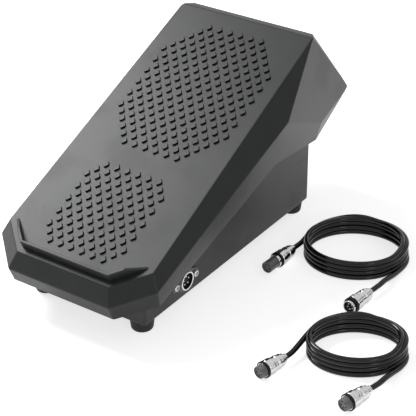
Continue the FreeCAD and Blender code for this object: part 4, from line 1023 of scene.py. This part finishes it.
def make_flange(finishes):
    """Flat flange with two screw lobes and a hole for the barrel."""
    outline = flange_outline()
    hole = []
    for u, w in outline:
        a = math.atan2(w, u)
        hole.append((BARREL_R * math.cos(a), BARREL_R * math.sin(a)))
    bm = bmesh.new()
    edges = []
    for path in (outline, hole):
        for x in (WALL_X, WALL_X + FLANGE_THICK):
            edges.append([bm.verts.new(place(x, SOCKET_Y + u, SOCKET_Z + w)) for u, w in path])
    back, front, hole_back, hole_front = edges
    for k in range(len(outline)):
        m = (k + 1) % len(outline)
        for one, two in ((back, front), (hole_back, hole_front), (back, hole_back), (front, hole_front)):
            bm.faces.new((one[k], one[m], two[m], two[k]))
    flange = from_bmesh("socket_flange", bm, finishes["flange_plating"])
    smooth(flange.data)
    add_bevel(flange, FLANGE_EDGE, 2, 40)
    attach(flange, "base")
    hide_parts("socket_shell")


def make_socket_insert(finishes):
    """Black insert with a thin sleeve along the barrel's mouth."""
    outer = BARREL_BORE_R - INSERT_PLAY
    profile = [(0, BARREL_BACK), (outer, BARREL_BACK), (outer, SLEEVE_BACK), (SLEEVE_R, SLEEVE_BACK),
               (SLEEVE_R, SLEEVE_FRONT), (SLEEVE_BORE_R, SLEEVE_FRONT), (SLEEVE_BORE_R, SOCKET_FACE),
               (0, SOCKET_FACE)]
    insert = turned("socket_moulded_insert", profile, place(WALL_X, SOCKET_Y, SOCKET_Z), (1, 0, 0),
                    finishes["insert_plastic"], 0.3, 48)
    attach(insert, "base")
    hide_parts("socket_insert")


def make_socket_pins(finishes):
    """Ring of plated pins on the socket's insert."""
    bm = bmesh.new()
    for k in range(CONTACTS):
        a = math.radians(90 + 360 / CONTACTS * k)
        y = SOCKET_Y + SOCKET_PIN_RING_R * math.cos(a)
        z = SOCKET_Z + SOCKET_PIN_RING_R * math.sin(a)
        add_turned(bm, SOCKET_PIN, place(WALL_X, y, z), (1, 0, 0), 0.1, 16)
    pins = from_bmesh("socket_pins", bm, finishes["ring_plating"])
    smooth(pins.data)
    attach(pins, "base")
    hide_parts("socket_contacts")


# Finishes on the nodes that stay

def dress_cad_nodes(finishes):
    """Gives every CAD node the finish that its slot names."""
    slots = {part["node"]: part["material_slot"] for part in frame["record"]["subparts"]}
    for name, obj in frame["nodes"].items():
        finish = finishes[slots[name]]
        if not obj.material_slots:
            obj.data.materials.append(finish)
        for slot in obj.material_slots:
            slot.material = finish


# Light and floor

def add_softbox(name, location, target, side, radiance):
    """Square softbox that faces its target."""
    data = bpy.data.lights.new(name, "AREA")
    data.shape = "RECTANGLE"
    data.size = side
    data.size_y = side
    data.energy = radiance * math.pi * side * side
    light = bpy.data.objects.new(name, data)
    light.location = location
    aim = Vector(target) - Vector(location)
    light.rotation_euler = aim.to_track_quat("-Z", "Y").to_euler()
    bpy.context.collection.objects.link(light)


def shown(tree):
    """1 for what the camera sees straight, in a mirror or through glass, 0 for light on the object."""
    path = tree.nodes.new("ShaderNodeLightPath").outputs
    seen = add_math(tree, "MAXIMUM", path["Is Camera Ray"], path["Is Glossy Ray"])
    return add_math(tree, "MAXIMUM", seen, path["Is Transmission Ray"])


def add_world():
    """Soft white light from all round, shown as plain white."""
    world = bpy.data.worlds.new("studio")
    bpy.context.scene.world = world
    world.use_nodes = True
    tree = world.node_tree
    background = tree.nodes["Background"]
    background.inputs["Color"].default_value = (1, 1, 1, 1)
    level = add_range(tree, shown(tree), target=(WORLD_ON_OBJECT, WORLD_SHOWN))
    tree.links.new(level, background.inputs["Strength"])


def add_card(name, corners, material):
    """Flat four-cornered stage piece."""
    mesh = bpy.data.meshes.new(name)
    mesh.from_pydata(corners, [], [(0, 1, 2, 3)])
    card = add_object(name, mesh, material)
    return card


def add_floor():
    """Pale floor that keeps the shadows and shows as white."""
    material, tree, shader = new_finish("white sweep")
    shader.inputs["Base Color"].default_value = FLOOR_COLOUR
    shader.inputs["Roughness"].default_value = 0.9
    shader.inputs["Specular IOR Level"].default_value = 0.0
    shader.inputs["Emission Color"].default_value = (1, 1, 1, 1)
    level = add_range(tree, shown(tree), target=(0.0, FLOOR_SHOWN))
    tree.links.new(level, shader.inputs["Emission Strength"])
    half = FLOOR_HALF
    add_card("floor", [(-half, -half, 0), (half, -half, 0), (half, half, 0), (-half, half, 0)], material)


def add_dark_flags():
    """Upright black cards beyond the plugs and out of view, for the plating to mirror."""
    material, _, shader = new_finish("black card")
    shader.inputs["Base Color"].default_value = CARD_COLOUR
    shader.inputs["Roughness"].default_value = 0.9
    for name, (low, height) in CARDS.items():
        foot = Vector((*CARD_PLACE, low))
        rise = Vector((0, 0, height))
        left, right = foot - CARD_ACROSS, foot + CARD_ACROSS
        flag = add_card(name, [left, right, right + rise, left + rise], material)
        flag.visible_camera = False
        flag.visible_shadow = False


# Making

bpy.context.scene.view_settings.view_transform = "Standard"
add_camera()
finishes = build_finishes()
plug_pieces = {number: make_plug(number, finishes) for number in PLUGS}
for number in LEADS:
    make_lead(number, finishes)
make_cover(finishes)
make_lip(finishes)
make_studs(finishes)
make_spring("left", -SPRING_X, finishes)
make_spring("right", SPRING_X, finishes)
make_barrel(finishes)
make_flange(finishes)
make_socket_insert(finishes)
make_socket_pins(finishes)
dress_cad_nodes(finishes)
for name, values in SOFTBOXES.items():
    add_softbox(name, *values)
add_world()
add_floor()
add_dark_flags()
